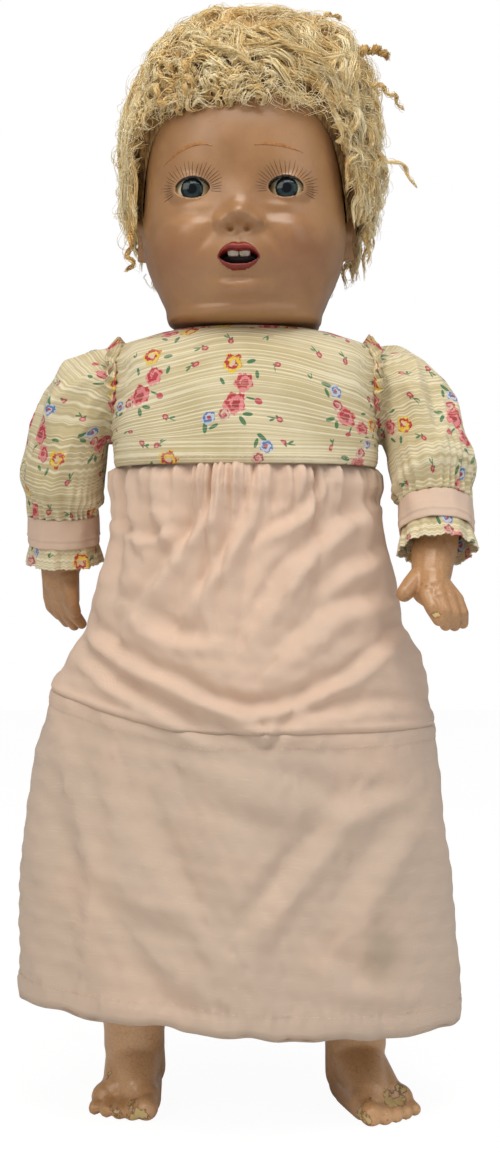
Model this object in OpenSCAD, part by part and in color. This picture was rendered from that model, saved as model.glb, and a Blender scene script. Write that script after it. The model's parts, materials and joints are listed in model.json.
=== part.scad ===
// Baby doll with a voice in its body and eyes that close.
// It faces -Y, stands on Z = 0, and its own left side is at +X.

/* [Legs] */
// Height of the hip hinge above the soles
hip_height = 255; // [250:1:270]
// Distance of each leg's middle from the middle of the doll
leg_out = 67; // [66:0.5:70]
// Half width of the thigh
thigh_r = 25; // [23:0.5:26]
// Half width of the ankle
ankle_r = 19.5; // [17:0.5:21]
// Height of the moulded lower leg
shin_h = 150; // [135:1:160]
// Length of the foot
foot_len = 78; // [70:1:82]
// Width of the foot
foot_w = 45; // [40:1:48]
// How far each foot is turned out, right foot first
foot_out = [8, 24]; // [0:1:30]
// How far each heel reaches back, right foot first
heel_back = [32, 22]; // [18:1:34]

/* [Body] */
// Distance from the hip hinge up to the shoulder hinge
body_len = 169; // [165:1:180]
// Half width of the cloth body at the hips
hip_half = 44; // [41:0.5:45]
// Half width of the cloth body at the shoulders
shoulder_half = 60; // [58:0.5:61]
// Half depth of the cloth body at the belly
belly_half = 49; // [45:1:52]

/* [Neck] */
// Radius of the neck of the head
neck_r = 28; // [25:0.5:29]
// Distance from the shoulder hinge up to the top of the collar
collar_rise = 37.5; // [35:0.5:40]
// Gap between the neck and its socket
neck_gap = 0.5; // [0.3:0.1:0.7]

/* [Head] */
// Half width of the head
head_half_w = 59; // [56:0.5:62]
// Distance from the neck's axis to the front of the face
face_front = 64; // [62:0.5:68]
// Distance from the neck's axis to the back of the head
head_back = 70; // [66:0.5:74]
// Height of the eyes above the collar
eye_rise = 75; // [73:0.5:77]
// Distance between the middles of the eyes
eye_gap = 54; // [52:0.5:56]
// Radius of the eyeball
eye_r = 12.5; // [12:0.1:12.8]
// Width of the opening between the lids
lid_w = 21; // [18:0.5:22]
// Height of the opening between the lids
lid_h = 11.5; // [9:0.5:13]
// Thickness of the moulded head
head_wall = 4.5; // [4:0.1:5]
// How far the head is turned to its right at rest
head_turn = 3; // [0:0.5:10]

/* [Wig] */
// Thickness of the hair at the sides of the head
hair_side = 23; // [18:0.5:28]
// Thickness of the hair on top of the head
hair_top = 32; // [24:0.5:36]
// How much the curls rise and fall
curl_depth = 3.2; // [2:0.1:4]

/* [Arms] */
// Distance from the shoulder hinge to the wrist
arm_len = 108; // [104:1:112]
// Distance of the wrist from the middle of the doll
wrist_out = 111.5; // [110:0.5:114]
// How far each arm hangs forward at rest, right arm first
arm_forward = [-13, 24]; // [-16:1:30]
// How far each hand is turned about the wrist, right hand first
hand_turn = [48, -12]; // [-20:1:55]
// How far each hand is bent up at the wrist, right hand first
hand_bend = [0, 34]; // [0:1:40]

/* [Dress] */
// Thickness of the dress cloth, doubled at its seams
cloth = 2; // [1.6:0.1:2.2]
// Radius of the armhole
armhole_r = 31; // [30:0.2:32]
// Gap between the armhole and the sleeve
sleeve_gap = 0.6; // [0.4:0.1:0.9]
// Half width of the bodice
bodice_half = 81; // [80:0.5:82]
// Half depth of the bodice
bodice_deep = 62; // [60:0.5:64]
// Distance from the shoulder hinge down to the yoke seam
yoke_drop = 43; // [40:1:46]
// Half width of the skirt at its widest
skirt_half = 132; // [128:1:135]
// Half depth of the skirt at its widest
skirt_deep = 92; // [90:1:98]
// Height of the hem above the soles
hem_height = 58; // [54:1:64]
// How much the hem is lower at the left side of the doll
hem_tilt = 15; // [0:1:20]
// Number of gathers round the waist
gathers = 13; // [9:1:15]
// Depth of the gathers at the yoke seam
gather_depth = 2.4; // [1:0.1:3]
// Depth of the drag fold that hangs in a V across the front
drag_depth = 4.5; // [2:0.5:6]
// Depth of the loose folds below the tuck
drape_depth = 3.6; // [1:0.2:4]
// How far the growth tuck stands out
tuck_depth = 2.2; // [1:0.1:3]
// Height of the pink band of the cuff
band_h = 18; // [14:0.5:20]
// Height of the frill below the band
frill_h = 12; // [10:0.5:13]
// Radius of the cuff
cuff_r = 21; // [20:0.2:22]
// Radius of the buttons at the back
button_r = 5; // [4:0.1:6]

/* [Voice box] */
// Outer radius of the voice box
can_r = 22; // [18:0.5:24]
// Length of the voice box
can_h = 50; // [44:1:54]
// How far the voice weight falls when the doll is tilted
voice_travel = 15; // [8:1:17]

/* [Joints] */
// Radius of the hip discs
hip_disc_r = 13.5; // [11:0.5:14]
// Radius of the shoulder discs
arm_disc_r = 10; // [8:0.5:10.5]
// Thickness of a fibre disc
disc_t = 2.5; // [2:0.1:3]
// Radius of a joint pin
pin_r = 1.6; // [1.2:0.1:1.8]
// Gap round a pin in its disc
pin_gap = 0.15; // [0.1:0.05:0.25]
// Gap between a limb and the body
limb_gap = 1; // [0.6:0.1:1.4]

/* [Hidden] */

RIGHT = 0;
LEFT = 1;
skin_color = "#bf936b";
hair_color = "#dcc58c";
print_color = "#ddd2ab";
pink_color = "#e6c6b4";
muslin_color = "#cbb893";
metal_color = "#8d8f92";
fibre_color = "#7b5a3a";

// Heights that other pieces follow
shoulder_z = hip_height + body_len;
collar_z = shoulder_z + collar_rise;
eye_z = collar_z + eye_rise;
yoke_z = shoulder_z - yoke_drop;
torso_top = shoulder_z + 16;
wrist_z = shoulder_z - arm_len;
elbow_z = wrist_z + band_h + frill_h + 8;

// ---- Shapes that the pieces share ----

// The signed power that squares off a circle
function spow(v, e) = sign(v) * pow(abs(v), e);

// A level ring of points, squarer as n grows past 2
function level(z, rx, ry, x = 0, y = 0, n = 2, sides = 32) =
    [for (i = [0 : sides - 1]) let (a = 360 * i / sides)
        [x + rx * spow(cos(a), 2 / n), y + ry * spow(sin(a), 2 / n), z]];

// A ring stretched between an inner and an outer point in the plane Y = 0
function hoop(xi, zi, xo, zo, ry, sides = 18) =
    [for (i = [0 : sides - 1]) let (a = 360 * i / sides, s = (1 + cos(a)) / 2)
        [xi + (xo - xi) * s, ry * sin(a), zi + (zo - zi) * s]];

// The value at t of a table of [t, value, ...] rows, column c, with t rising
function along(table, t, c = 1) =
    let (last = len(table) - 1,
         k = t <= table[0][0] ? 0 : t >= table[last][0] ? last - 1
             : max([for (i = [0 : last - 1]) if (table[i][0] <= t) i]),
         s = (t - table[k][0]) / (table[k + 1][0] - table[k][0]),
         e = min(1, max(0, s)))
    table[k][c] + (table[k + 1][c] - table[k][c]) * e;

// A solid through rings that rise or go outward; a loop joins its last ring to its first
module skin(rings, loop = false) {
    n = len(rings[0]);
    m = len(rings);
    points = [for (r = rings) for (p = r) p];
    walls = [for (j = [0 : m - (loop ? 1 : 2)]) for (i = [0 : n - 1])
        let (a = j * n + i, b = j * n + (i + 1) % n,
             c = ((j + 1) % m) * n + (i + 1) % n, d = ((j + 1) % m) * n + i)
        each [[a, c, b], [a, d, c]]];
    ends = loop ? [] : [[for (i = [0 : n - 1]) i], [for (i = [0 : n - 1]) m * n - 1 - i]];
    polyhedron(points, concat(walls, ends));
}

// A round wire or coil along points
module wire(points, r, sides = 5) {
    last = len(points) - 1;
    skin([for (k = [0 : last])
        let (t = points[min(last, k + 1)] - points[max(0, k - 1)],
             f = t / norm(t),
             u0 = cross(f, abs(f[2]) < 0.9 ? [0, 0, 1] : [1, 0, 0]),
             u = u0 / norm(u0), v = cross(f, u))
        [for (i = [0 : sides - 1]) let (a = 360 * i / sides)
            points[k] + r * (cos(a) * u + sin(a) * v)]]);
}

// A cylinder whose axis lies along X, from x0 to x1
module bar_x(x0, x1, r, fn = 48) {
    translate([x0, 0, 0]) rotate([0, 90, 0]) cylinder(r = r, h = x1 - x0, $fn = fn);
}

// Places the head's own pieces, which are drawn facing straight ahead
module on_head() {
    rotate([0, 0, -head_turn]) children();
}

// Places an arm's pieces, which are drawn hanging straight down on the left side
module on_arm(side) {
    translate([0, 0, shoulder_z]) rotate([-arm_forward[side], 0, 0]) translate([0, 0, -shoulder_z])
        mirror([side == RIGHT ? 1 : 0, 0, 0]) children();
}

module on_leg(side) {
    mirror([side == RIGHT ? 1 : 0, 0, 0]) children();
}

// ---- Head ----

head_sides = 36;
head_up = 91;
head_down = 96;
head_square = 2.6;
crown_z = eye_z + 75;
jaw_z = collar_z + 1.2;
eye_y = -(face_front - 16);
lid_t = 2.8;
neck_bottom = collar_z - 12.5;
head_levels = [0, 6, 12, 17.5, 22, 26, 29.5, 33, 37, 42, 47, 51, 56, 60, 66, 73, 81, 92, 106, 122, 136];
inside_levels = [118, 74, 36, 10];

// Rises and hollows of the face: across, above the collar, height, spread across, spread up
face_forms = [
    [0, 58.5, 10.5, 7, 7.5],     // tip of the nose
    [0, 66, 5, 6, 12],           // bridge of the nose
    [8.5, 54, 5.5, 4.5, 4.5],    // wing of the nose
    [-8.5, 54, 5.5, 4.5, 4.5],
    [0, 37, 5.5, 17, 13],        // mouth
    [0, 43.5, 2.4, 9, 2.8],      // upper lip
    [0, 29.5, 3, 8, 3.2],        // lower lip
    [0, 24, -2, 11, 3],          // hollow under the lip
    [0, 17, 5.5, 13, 8],         // chin
    [33, 43, 5.5, 20, 19],       // cheek
    [-33, 43, 5.5, 20, 19],
    [27, 75, -2.4, 14, 8],       // hollow of the eye
    [-27, 75, -2.4, 14, 8],
    [0, 112, 4, 36, 28]];        // forehead

function hill(f, x, h) = f[2] * exp(-pow((x - f[0]) / f[3], 2) - pow((h - f[1]) / f[4], 2));
function hills(x, h) = sum_of([for (f = face_forms) hill(f, x, h)]);
function sum_of(v, i = 0) = i >= len(v) ? 0 : v[i] + sum_of(v, i + 1);

// Rings are closer together at the face than behind it
function head_angle(i) = let (a = 360 * i / head_sides) a - 24 * sin(a);

// Distance from the neck's axis to the plain head, at an angle from the face
function plain_head(a, z, grow = 0) =
    let (h = (z - eye_z) / ((z > eye_z ? head_up : head_down) + grow),
         wide = pow(max(0, 1 - pow(abs(h), head_square)), 1 / head_square),
         jowl = 1 + 0.055 * exp(-pow((z - eye_z + 32) / 27, 2)),
         deep = cos(a) > 0 ? face_front : head_back)
    wide * pow(pow(abs(sin(a)) / (head_half_w * jowl + grow), head_square)
        + pow(abs(cos(a)) / (deep + grow), head_square), -1 / head_square);

function head_ring(z, grow = 0, face = 1) =
    [for (i = [0 : head_sides - 1])
        let (a = head_angle(i), r = plain_head(a, z, grow),
             rise = face == 0 || cos(a) <= 0 ? 0 : face * hills(r * sin(a), z - collar_z))
        [(r + rise) * sin(a), -(r + rise) * cos(a), z]];

function neck_ring(z, r) =
    [for (i = [0 : head_sides - 1]) let (a = head_angle(i)) [r * sin(a), -r * cos(a), z]];

module ears(grow = 0) {
    for (s = [-1, 1]) hull() {
        translate([s * (head_half_w + 1), 6, eye_z - 6]) sphere(r = 7 + grow, $fn = 8);
        translate([s * (head_half_w - 1), 3, eye_z - 24]) sphere(r = 4.5 + grow, $fn = 8);
    }
}

module head_shell() {
    outer = concat([neck_ring(neck_bottom, neck_r - 4), neck_ring(neck_bottom + 4, neck_r - 1),
                    neck_ring(neck_bottom + 9, neck_r), neck_ring(jaw_z, neck_r)],
                   [for (h = head_levels) head_ring(jaw_z + h)], [head_ring(crown_z)]);
    inner = concat([head_ring(crown_z, -head_wall, 0)],
                   [for (h = inside_levels) head_ring(jaw_z + h, -head_wall, 0.5)],
                   [neck_ring(jaw_z + 5, neck_r - head_wall), neck_ring(neck_bottom + 4, neck_r - 6)]);
    color(skin_color) on_head() difference() {
        union() {
            skin(concat(outer, inner), loop = true);
            ears();
            // The lids and, behind them, the seats of the eyes
            for (s = [-1, 1]) translate([s * eye_gap / 2, eye_y, eye_z]) sphere(r = eye_r + lid_t, $fn = 12);
        }
        for (s = [-1, 1]) translate([s * eye_gap / 2, eye_y, eye_z]) {
            sphere(r = eye_r + 1.5, $fn = 12);
            rotate([90, 0, 0]) resize([lid_w, lid_h, 0]) cylinder(r = lid_w / 2, h = 40, $fn = 16);
            translate([0, 3 + eye_r, 0]) cube([3 * eye_r, 2 * eye_r, 3 * eye_r], center = true);
        }
        translate([0, eye_y, eye_z]) bar_x(-eye_gap / 2, eye_gap / 2, rod_r + 0.5, 12);
        mouth_cut();
    }
}

mouth_w = 20;
mouth_h = 8;
mouth_z = collar_z + 36;

// The open mouth, between the lips
module mouth_cut() {
    translate([0, -face_front + 12, mouth_z]) rotate([90, 0, 0]) linear_extrude(40) hull() {
        translate([0, -0.5]) resize([mouth_w, mouth_h]) circle(d = mouth_w, $fn = 20);
        for (s = [-1, 1]) translate([s * (mouth_w / 2 - 2), 0.5]) circle(r = 1.2, $fn = 8);
    }
}

module crown_pate() {
    outer = [head_ring(crown_z), head_ring(crown_z + 15)];
    color("#a58a63") on_head() {
        difference() {
            skin(outer);
            skin([head_ring(crown_z - 1, -2.5, 0), head_ring(crown_z + 11, -2.5, 0)]);
        }
    }
}

// The lining behind the open mouth: a shallow pocket of dark felt
lining_y = -(face_front - head_wall - 4.5);
lining_deep = 10.5;
module mouth_lining() {
    color("#3a1512") on_head() translate([0, lining_y, mouth_z]) rotate([-90, 0, 0]) difference() {
        cylinder(d = mouth_w + 4, h = lining_deep, $fn = 12);
        translate([0, 0, -1]) cylinder(d = mouth_w + 1.6, h = lining_deep, $fn = 12);
    }
}

module teeth() {
    tooth_w = 5.6;
    tooth_h = 3.6;
    tooth_y = -face_front + 1;
    color("#ece3cf") on_head() for (s = [-1, 1])
        translate([s * (tooth_w / 2 + 0.15) - tooth_w / 2, tooth_y, mouth_z + mouth_h / 2 - 1.3 - tooth_h])
            cube([tooth_w, lining_y + lining_deep - 1 - tooth_y, tooth_h]);
}

// The felt-lined tin bracket that carries the eye rod behind the bridge of the nose
bracket_x = 10;
bracket_t = 1.2;
rod_r = 1.5;
rod_gap = 0.15;
module eye_bracket() {
    back = eye_y - 5;
    color(metal_color) on_head() translate([0, 0, eye_z]) {
        translate([-bracket_x - bracket_t, -face_front + head_wall + 0.9, -6])
            cube([2 * (bracket_x + bracket_t), 1.4, 12]);
        for (s = [-1, 1]) difference() {
            translate([s * (bracket_x + bracket_t / 2) - bracket_t / 2, -face_front + head_wall + 2.3, -5])
                cube([bracket_t, eye_y + 4 + face_front - head_wall - 2.3, 10]);
            translate([s * (bracket_x + bracket_t / 2), eye_y, 0])
                bar_x(-1, 1, rod_r + rod_gap);
        }
    }
}

arm_drop = 31;      // from the rod down to the middle of the weight
arm_back = 13;      // from the rod back to the middle of the weight
weight_r = 8;
module eye_stop_pad() {
    pad_z = eye_z - 17;
    touch_y = eye_y + arm_back * 17 / arm_drop - 2.6;
    color("#8d6b45") on_head() translate([-4, -face_front + head_wall + 2, pad_z - 4])
        cube([8, touch_y + face_front - head_wall - 2, 7]);
}

// ---- Neck fixings ----

button_r0 = neck_r - 7;
hook_r = 1.8;
socket_floor = neck_bottom - 1.4;
floor_t = 3;
spring_top = socket_floor - floor_t - 0.3;
spring_h = 16;

// A turned wooden plug in the bottom of the neck, which the hook pulls down on
module neck_button() {
    color("#b08a55") on_head() translate([0, 0, neck_bottom + 0.2]) difference() {
        cylinder(r1 = button_r0 - 1, r2 = button_r0 - 2.3, h = 9);
        translate([0, 0, -1]) cylinder(r = hook_r + 0.2, h = 12, $fn = 48);
    }
}

module neck_hook() {
    head_t = 2;
    foot_z = spring_top - spring_h - 2 - 3;
    color(metal_color) on_head() {
        translate([0, 0, foot_z]) cylinder(r = hook_r, h = neck_bottom + 9.4 - foot_z, $fn = 48);
        translate([0, 0, neck_bottom + 9.4]) cylinder(r = 6, h = head_t, $fn = 48);
        translate([0, 0, foot_z]) cylinder(r = 3.2, h = 2.7, $fn = 48);
    }
}

// The pull spring of the neck
module neck_spring() {
    turns = 4;
    steps = 8;
    wire_r = 0.8;
    coil_r = 5;
    pitch = (spring_h - 2 * wire_r - 0.2) / turns;
    color(metal_color) on_head() wire([for (k = [0 : turns * steps]) let (a = 360 * k / steps)
        [coil_r * cos(a), coil_r * sin(a), spring_top - spring_h + wire_r + 0.1 + pitch * k / steps]], wire_r);
}

module neck_washer() {
    color(metal_color) on_head() translate([0, 0, spring_top - spring_h - 2]) difference() {
        cylinder(r = 8, h = 1.8, $fn = 48);
        translate([0, 0, -1]) cylinder(r = hook_r + 0.15, h = 4, $fn = 48);
    }
}

// ---- Eyes ----

module at_eye(side) {
    on_head() translate([(side == RIGHT ? -1 : 1) * eye_gap / 2, eye_y, eye_z]) children();
}

iris_r = 6.4;
iris_t = 0.35;
module eyeball(side) {
    s = side == RIGHT ? -1 : 1;
    color("#e7e2cf") at_eye(side) difference() {
        sphere(r = eye_r, $fn = 64);
        sphere(r = eye_r - 1.6, $fn = 64);
        translate([-20, eye_r - 5, -20]) cube(40);
        bar_x(-30, 30, rod_r + 0.02);
    }
}

// The clear iris with its dark pupil, set on the front of the eyeball
module iris(side) {
    color("#6f8890") at_eye(side) intersection() {
        difference() {
            sphere(r = eye_r + iris_t, $fn = 64);
            sphere(r = eye_r + 0.02, $fn = 64);
        }
        rotate([90, 0, 0]) cylinder(r = iris_r, h = 20, $fn = 48);
    }
}

module eye_rod() {
    reach = eye_gap / 2 + eye_r - 0.4;
    color(metal_color) on_head() translate([0, eye_y, eye_z]) bar_x(-reach, reach, rod_r);
}

// The flat arm that carries the weight
module eye_yoke() {
    len = norm([arm_drop, arm_back]);
    color(metal_color) on_head() translate([0, eye_y, eye_z]) rotate([atan2(arm_back, arm_drop), 0, 0])
        difference() {
            union() {
                bar_x(-3, 3, 3.6);
                translate([-2, -1, -len + weight_r - 0.5]) cube([4, 2, len - weight_r]);
            }
            bar_x(-5, 5, rod_r + 0.02);
        }
}

module eye_weight() {
    color("#6a6c70") on_head() translate([0, eye_y + arm_back, eye_z - arm_drop])
        difference() {
            bar_x(-9, 9, weight_r);
            rotate([atan2(arm_back, arm_drop), 0, 0]) translate([-2.1, -1.1, weight_r - 0.9])
                cube([4.2, 2.2, 4]);
        }
}

// ---- Wig ----

hair_z = eye_z + 38;
hair_up = 150;
hair_crown = crown_z + 16 + hair_top - hair_z;
hair_levels = concat([-70, -58, -45, -32, -16, 0], [for (s = [0.2, 0.4, 0.58, 0.74, 0.87, 0.96]) s * hair_crown]);

function hair_ring(dz) =
    let (z = hair_z + dz, h = dz > 0 ? dz / hair_crown : -dz / hair_up,
         f = pow(max(0, 1 - pow(h, 2.5)), 1 / 2.5))
    [for (i = [0 : head_sides - 1])
        let (a = head_angle(i),
             r0 = pow(pow(abs(sin(a)) / (head_half_w + hair_side), 2.3)
                 + pow(abs(cos(a)) / (cos(a) > 0 ? face_front + 5 : head_back + 17), 2.3), -1 / 2.3),
             curl = curl_depth * (sin(5 * a + 3.1 * dz) + 0.6 * sin(9 * a - 5.3 * dz)),
             r = r0 * f + curl * min(1, f * 2))
        [r * sin(a), -r * cos(a), z]];

// Locks that hang below the mass of the hair: angle from the face, top and length
locks = [[78, 8, 32], [-80, 8, 26], [97, 6, 30], [-98, 6, 30], [116, 6, 26], [-118, 6, 28],
         [138, 5, 24], [-140, 5, 24], [160, 5, 22], [-161, 5, 24], [180, 5, 22]];

module wig() {
    color(hair_color) on_head() difference() {
        union() {
            skin([for (dz = hair_levels) hair_ring(dz)]);
            for (k = locks) {
                r = norm([sin(k[0]) * (head_half_w + 12), cos(k[0]) * (head_back + 5)]);
                hull() {
                    translate([r * sin(k[0]), -r * cos(k[0]), eye_z - 20 + k[1]]) sphere(r = 10.5, $fn = 8);
                    translate([(r + 1) * sin(k[0]), -(r + 1) * cos(k[0]), eye_z - 20 - k[2]])
                        sphere(r = 5.5, $fn = 8);
                }
            }
        }
        skin(concat([for (h = head_levels) if (h > 10) head_ring(jaw_z + h, 0.4)],
                    [for (h = [0, 15.4]) head_ring(crown_z + h, 0.4)]));
        ears(0.4);
        // The face shows through this opening
        translate([0, -12, 0]) rotate([90, 0, 0]) linear_extrude(90)
            polygon([[-head_half_w - 1, jaw_z - 30], [head_half_w + 1, jaw_z - 30], [head_half_w + 1, eye_z + 30],
                     [44, eye_z + 44], [20, eye_z + 51], [-16, eye_z + 50], [-36, eye_z + 43],
                     [-head_half_w - 1, eye_z + 32]]);
        translate([0, -3, 0]) cube([2 * head_half_w, 80, 2 * (jaw_z - 14)], center = true);
    }
}

// ---- Body ----

socket_r = neck_r + neck_gap;
module shoulder_plate() {
    // Height, half width and half depth: up the outside, then down the socket and under its floor
    form = [[torso_top, shoulder_half - 2, 43], [torso_top + 10, shoulder_half - 4, 42], [collar_z - 6, 51, 40],
            [collar_z - 3.2, 46.5, 37.5], [collar_z - 1.4, neck_r + 8, neck_r + 6], [collar_z, neck_r + 4, neck_r + 4],
            [collar_z, socket_r, socket_r], [neck_bottom + 9, socket_r, socket_r],
            [neck_bottom + 4, socket_r - 1, socket_r - 1], [neck_bottom - neck_gap, socket_r - 4, socket_r - 4],
            [socket_floor, socket_r - 4.5, socket_r - 4.5], [socket_floor, hook_r + 0.4, hook_r + 0.4],
            [socket_floor - floor_t, hook_r + 0.4, hook_r + 0.4], [socket_floor - floor_t, neck_r - 1, neck_r - 1],
            [torso_top, neck_r + 2, neck_r + 2]];
    color("#a9835c") skin([for (f = form) level(f[0], f[1], f[2], n = f[1] > 52 ? 2.2 : 2, sides = 24)], loop = true);
}

// Cloth body, from the seat up: height above the hip, half width, half depth, middle, squareness
body_form = [[-26, 18, 16, 0, 2], [-24, 30, 27, 0, 2.2], [-17, 40, 37, 0, 2.4], [-6, 43.5, 42, 0, 2.6],
             [8, 44, 43, 0, 2.6], [31, 45, 45.5, -2, 2.4], [42, 51, 47, -3, 2.3],
             [58, 56, 48.5, -4, 2.2], [80, 58, 49, -4, 2.2], [104, 57, 47, -3, 2.2], [128, 57, 44, -1, 2.2],
             [148, 59, 42, 0, 2.4], [162, 60, 40.5, 0, 2.5], [180, 59, 40, 0, 2.5],
             [185, 58, 39, 0, 2.4]];

function body_ring(b) =
    let (hip = min(1, max(0, (60 - b[0]) / 30)), half = b[1] * (hip * hip_half / 44 + (1 - hip) * shoulder_half / 60))
    level(b[0] < 31 ? hip_height + b[0] : hip_height + 31 + (b[0] - 31) * (torso_top - hip_height - 31) / 154,
          half, b[2] * belly_half / 49, y = b[3], n = b[4], sides = 24);

module torso_body() {
    color(muslin_color) difference() {
        skin([for (b = body_form) body_ring(b)]);
        // Pockets for the discs and their pins
        for (s = [-1, 1]) {
            translate([0, 0, hip_height]) mirror([s > 0 ? 0 : 1, 0, 0]) {
                bar_x(hip_half - 8 - disc_t, hip_half - 4, hip_disc_r * 1.06, 12);
                bar_x(hip_half - 5, hip_half + 2, pin_r + 0.7, 12);
            }
            translate([0, 0, shoulder_z]) mirror([s > 0 ? 0 : 1, 0, 0]) {
                bar_x(shoulder_half - 8 - disc_t, shoulder_half - 4, arm_disc_r * 1.06, 12);
                bar_x(shoulder_half - 5, shoulder_half + 2, pin_r + 0.7, 12);
            }
        }
        // The voice box sits in the belly, and the neck spring in the chest
        translate([0, -4, can_z - 0.2]) cylinder(r = (can_r + 0.2) / cos(15), h = can_h + 0.4, $fn = 12);
        translate([0, 0, spring_top - spring_h - 7]) cylinder(r = 12, h = 60, $fn = 12);
    }
}

// ---- Voice box ----

can_z = hip_height + 42;
can_wall = 1.2;
grille_t = 2;
weight_h = 10;
voice_r = can_r - can_wall - 1;
reed_t = 4;
module at_voice() { translate([0, -4, can_z]) children(); }

module voice_can() {
    color("#a8a38f") at_voice() difference() {
        cylinder(r = can_r, h = can_h - grille_t, $fn = 64);
        translate([0, 0, can_wall]) cylinder(r = can_r - can_wall, h = can_h, $fn = 64);
    }
}

module voice_grille() {
    color("#9b957f") at_voice() translate([0, 0, can_h - grille_t]) difference() {
        cylinder(r = can_r, h = grille_t, $fn = 64);
        for (n = [0 : 5]) rotate(60 * n) translate([can_r * 0.55, 0, -1]) cylinder(r = 2, h = grille_t + 2, $fn = 24);
        translate([0, 0, -1]) cylinder(r = 2, h = grille_t + 2, $fn = 24);
    }
}

// The plate that holds the reed under the grille
module voice_reed() {
    color("#c8a24a") at_voice() translate([0, 0, can_h - grille_t - reed_t]) difference() {
        cylinder(r = can_r - can_wall - 0.05, h = reed_t, $fn = 64);
        translate([-5, -1.6, -1]) cube([10, 3.2, reed_t + 2]);
    }
}

// Leather bellows between the reed plate and the weight
module voice_bellows() {
    low = can_wall + weight_h + 0.1;
    high = can_h - grille_t - reed_t - 0.1;
    folds = 5;
    rise = (high - low) / (2 * folds);
    outer = [for (k = [0 : 2 * folds]) [k % 2 == 0 ? voice_r - 6 : voice_r - 1.5, low + rise * k]];
    inner = [for (k = [2 * folds : -1 : 0]) [k % 2 == 0 ? voice_r - 7 : voice_r - 2.5, low + rise * k]];
    color("#6b4a30") at_voice() rotate_extrude($fn = 48) polygon(concat(outer, inner));
}

module voice_weight() {
    color("#6a6c70") at_voice() translate([0, 0, can_wall + 0.02]) difference() {
        cylinder(r = voice_r, h = weight_h, $fn = 64);
        translate([0, 0, 3]) cylinder(r = 4, h = weight_h, $fn = 48);
    }
}

// ---- Limb joints ----

module disc(x0, r) {
    difference() {
        bar_x(x0, x0 + disc_t, r);
        bar_x(x0 - 1, x0 + disc_t + 1, pin_r + pin_gap);
    }
}

// A pin with a flat head inside the body and a spread end inside the limb
module pin(x0, x1) {
    bar_x(x0, x1, pin_r);
    bar_x(x0 - 1.5, x0, pin_r * 2.2);
    bar_x(x1, x1 + 1, pin_r * 2);
}

module both_sides(z) {
    for (s = [0, 1]) translate([0, 0, z]) mirror([s, 0, 0]) children();
}

hip_inner = hip_half - 4 - disc_t - 0.05;
arm_inner = shoulder_half - 4 - disc_t - 0.05;
hip_outer = hip_half + limb_gap + 4;
arm_outer = shoulder_half + limb_gap + 3.2;

module body_hip_discs() { color(fibre_color) both_sides(hip_height) disc(hip_inner, hip_disc_r); }
module body_shoulder_discs() { color(fibre_color) both_sides(shoulder_z) disc(arm_inner, arm_disc_r); }
module hip_pins() { color(metal_color) both_sides(hip_height) pin(hip_inner - 0.05, hip_outer + disc_t + 0.1); }
module shoulder_pins() { color(metal_color) both_sides(shoulder_z) pin(arm_inner - 0.05, arm_outer + disc_t + 0.1); }

// ---- Arms, drawn on the left side and hanging straight down ----

arm_start = shoulder_half + limb_gap;
// Cloth upper arm: share of the way down, half width, half depth, share of the way out
arm_form = [[1, 8, 8, 1], [0.86, 14.5, 14.5, 0.96], [0.66, 15.5, 15.5, 0.82], [0.42, 15, 16.5, 0.62],
            [0.22, 17, 18, 0.22], [0, 19, 18, 0.03], [-0.12, 17.5, 16, 0], [-0.2, 14.5, 12.5, 0], [-0.24, 10, 8, 0]];
arm_top_x = arm_start + 18;
forearm_r = 12.5;

module upper_arm(side) {
    drop = shoulder_z - elbow_z;
    color(muslin_color) on_arm(side) difference() {
        skin([for (f = arm_form)
            [for (p = level(shoulder_z - drop * f[0], f[1] + (f[0] == 1 ? 5.5 : 0), f[2] + (f[0] == 1 ? 5.5 : 0),
                            x = arm_top_x + (wrist_out - arm_top_x) * f[3], n = 2.2, sides = 20))
                [max(p[0], arm_start), p[1], p[2]]]]);
        translate([0, 0, shoulder_z]) bar_x(arm_outer - 0.1, arm_outer + disc_t + 2.4, arm_disc_r * 1.06, 12);
        translate([0, 0, shoulder_z]) bar_x(arm_start - 1, arm_outer + 1, pin_r + 0.7, 12);
        translate([wrist_out, 0, elbow_z - 1]) cylinder(r = 9.2 / cos(15), h = 9.2, $fn = 12);
    }
}

module arm_disc(side) {
    color(fibre_color) on_arm(side) translate([0, 0, shoulder_z]) disc(arm_outer, arm_disc_r);
}

// The wire that ties the cloth arm to the neck of the forearm
module arm_tie(side) {
    color(metal_color) on_arm(side) translate([wrist_out, 0, elbow_z + 0.5])
        rotate_extrude($fn = 48) translate([14.9, 0]) circle(r = 0.6, $fn = 16);
}

module finger(x, fan) {
    hull() {
        translate([x, 0, -13]) sphere(r = 3.8, $fn = 7);
        translate([x * fan, 0.5, -24]) sphere(r = 3.5, $fn = 7);
        translate([x * fan * 1.04, 5, -31]) sphere(r = 3, $fn = 7);
    }
}

// A hand with its fingers down, its thumb to -X and its back to -Y
module hand() {
    hull() {
        sphere(r = 10.5, $fn = 10);
        translate([0, 0, 6]) sphere(r = 10.5, $fn = 10);
    }
    hull() {
        sphere(r = 10, $fn = 10);
        for (x = [-8, 8]) translate([x, 0, -13]) sphere(r = 5, $fn = 8);
    }
    for (x = [-9.6, -3.2, 3.2, 9.6]) finger(x, 1.08);
    hull() {
        translate([-6, -1, -3]) sphere(r = 5.6, $fn = 8);
        translate([-12.4, -2, -11]) sphere(r = 4.3, $fn = 8);
    }
    hull() {
        translate([-12.4, -2, -11]) sphere(r = 4.3, $fn = 8);
        translate([-13, -1, -19]) sphere(r = 3.5, $fn = 8);
    }
}

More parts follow.
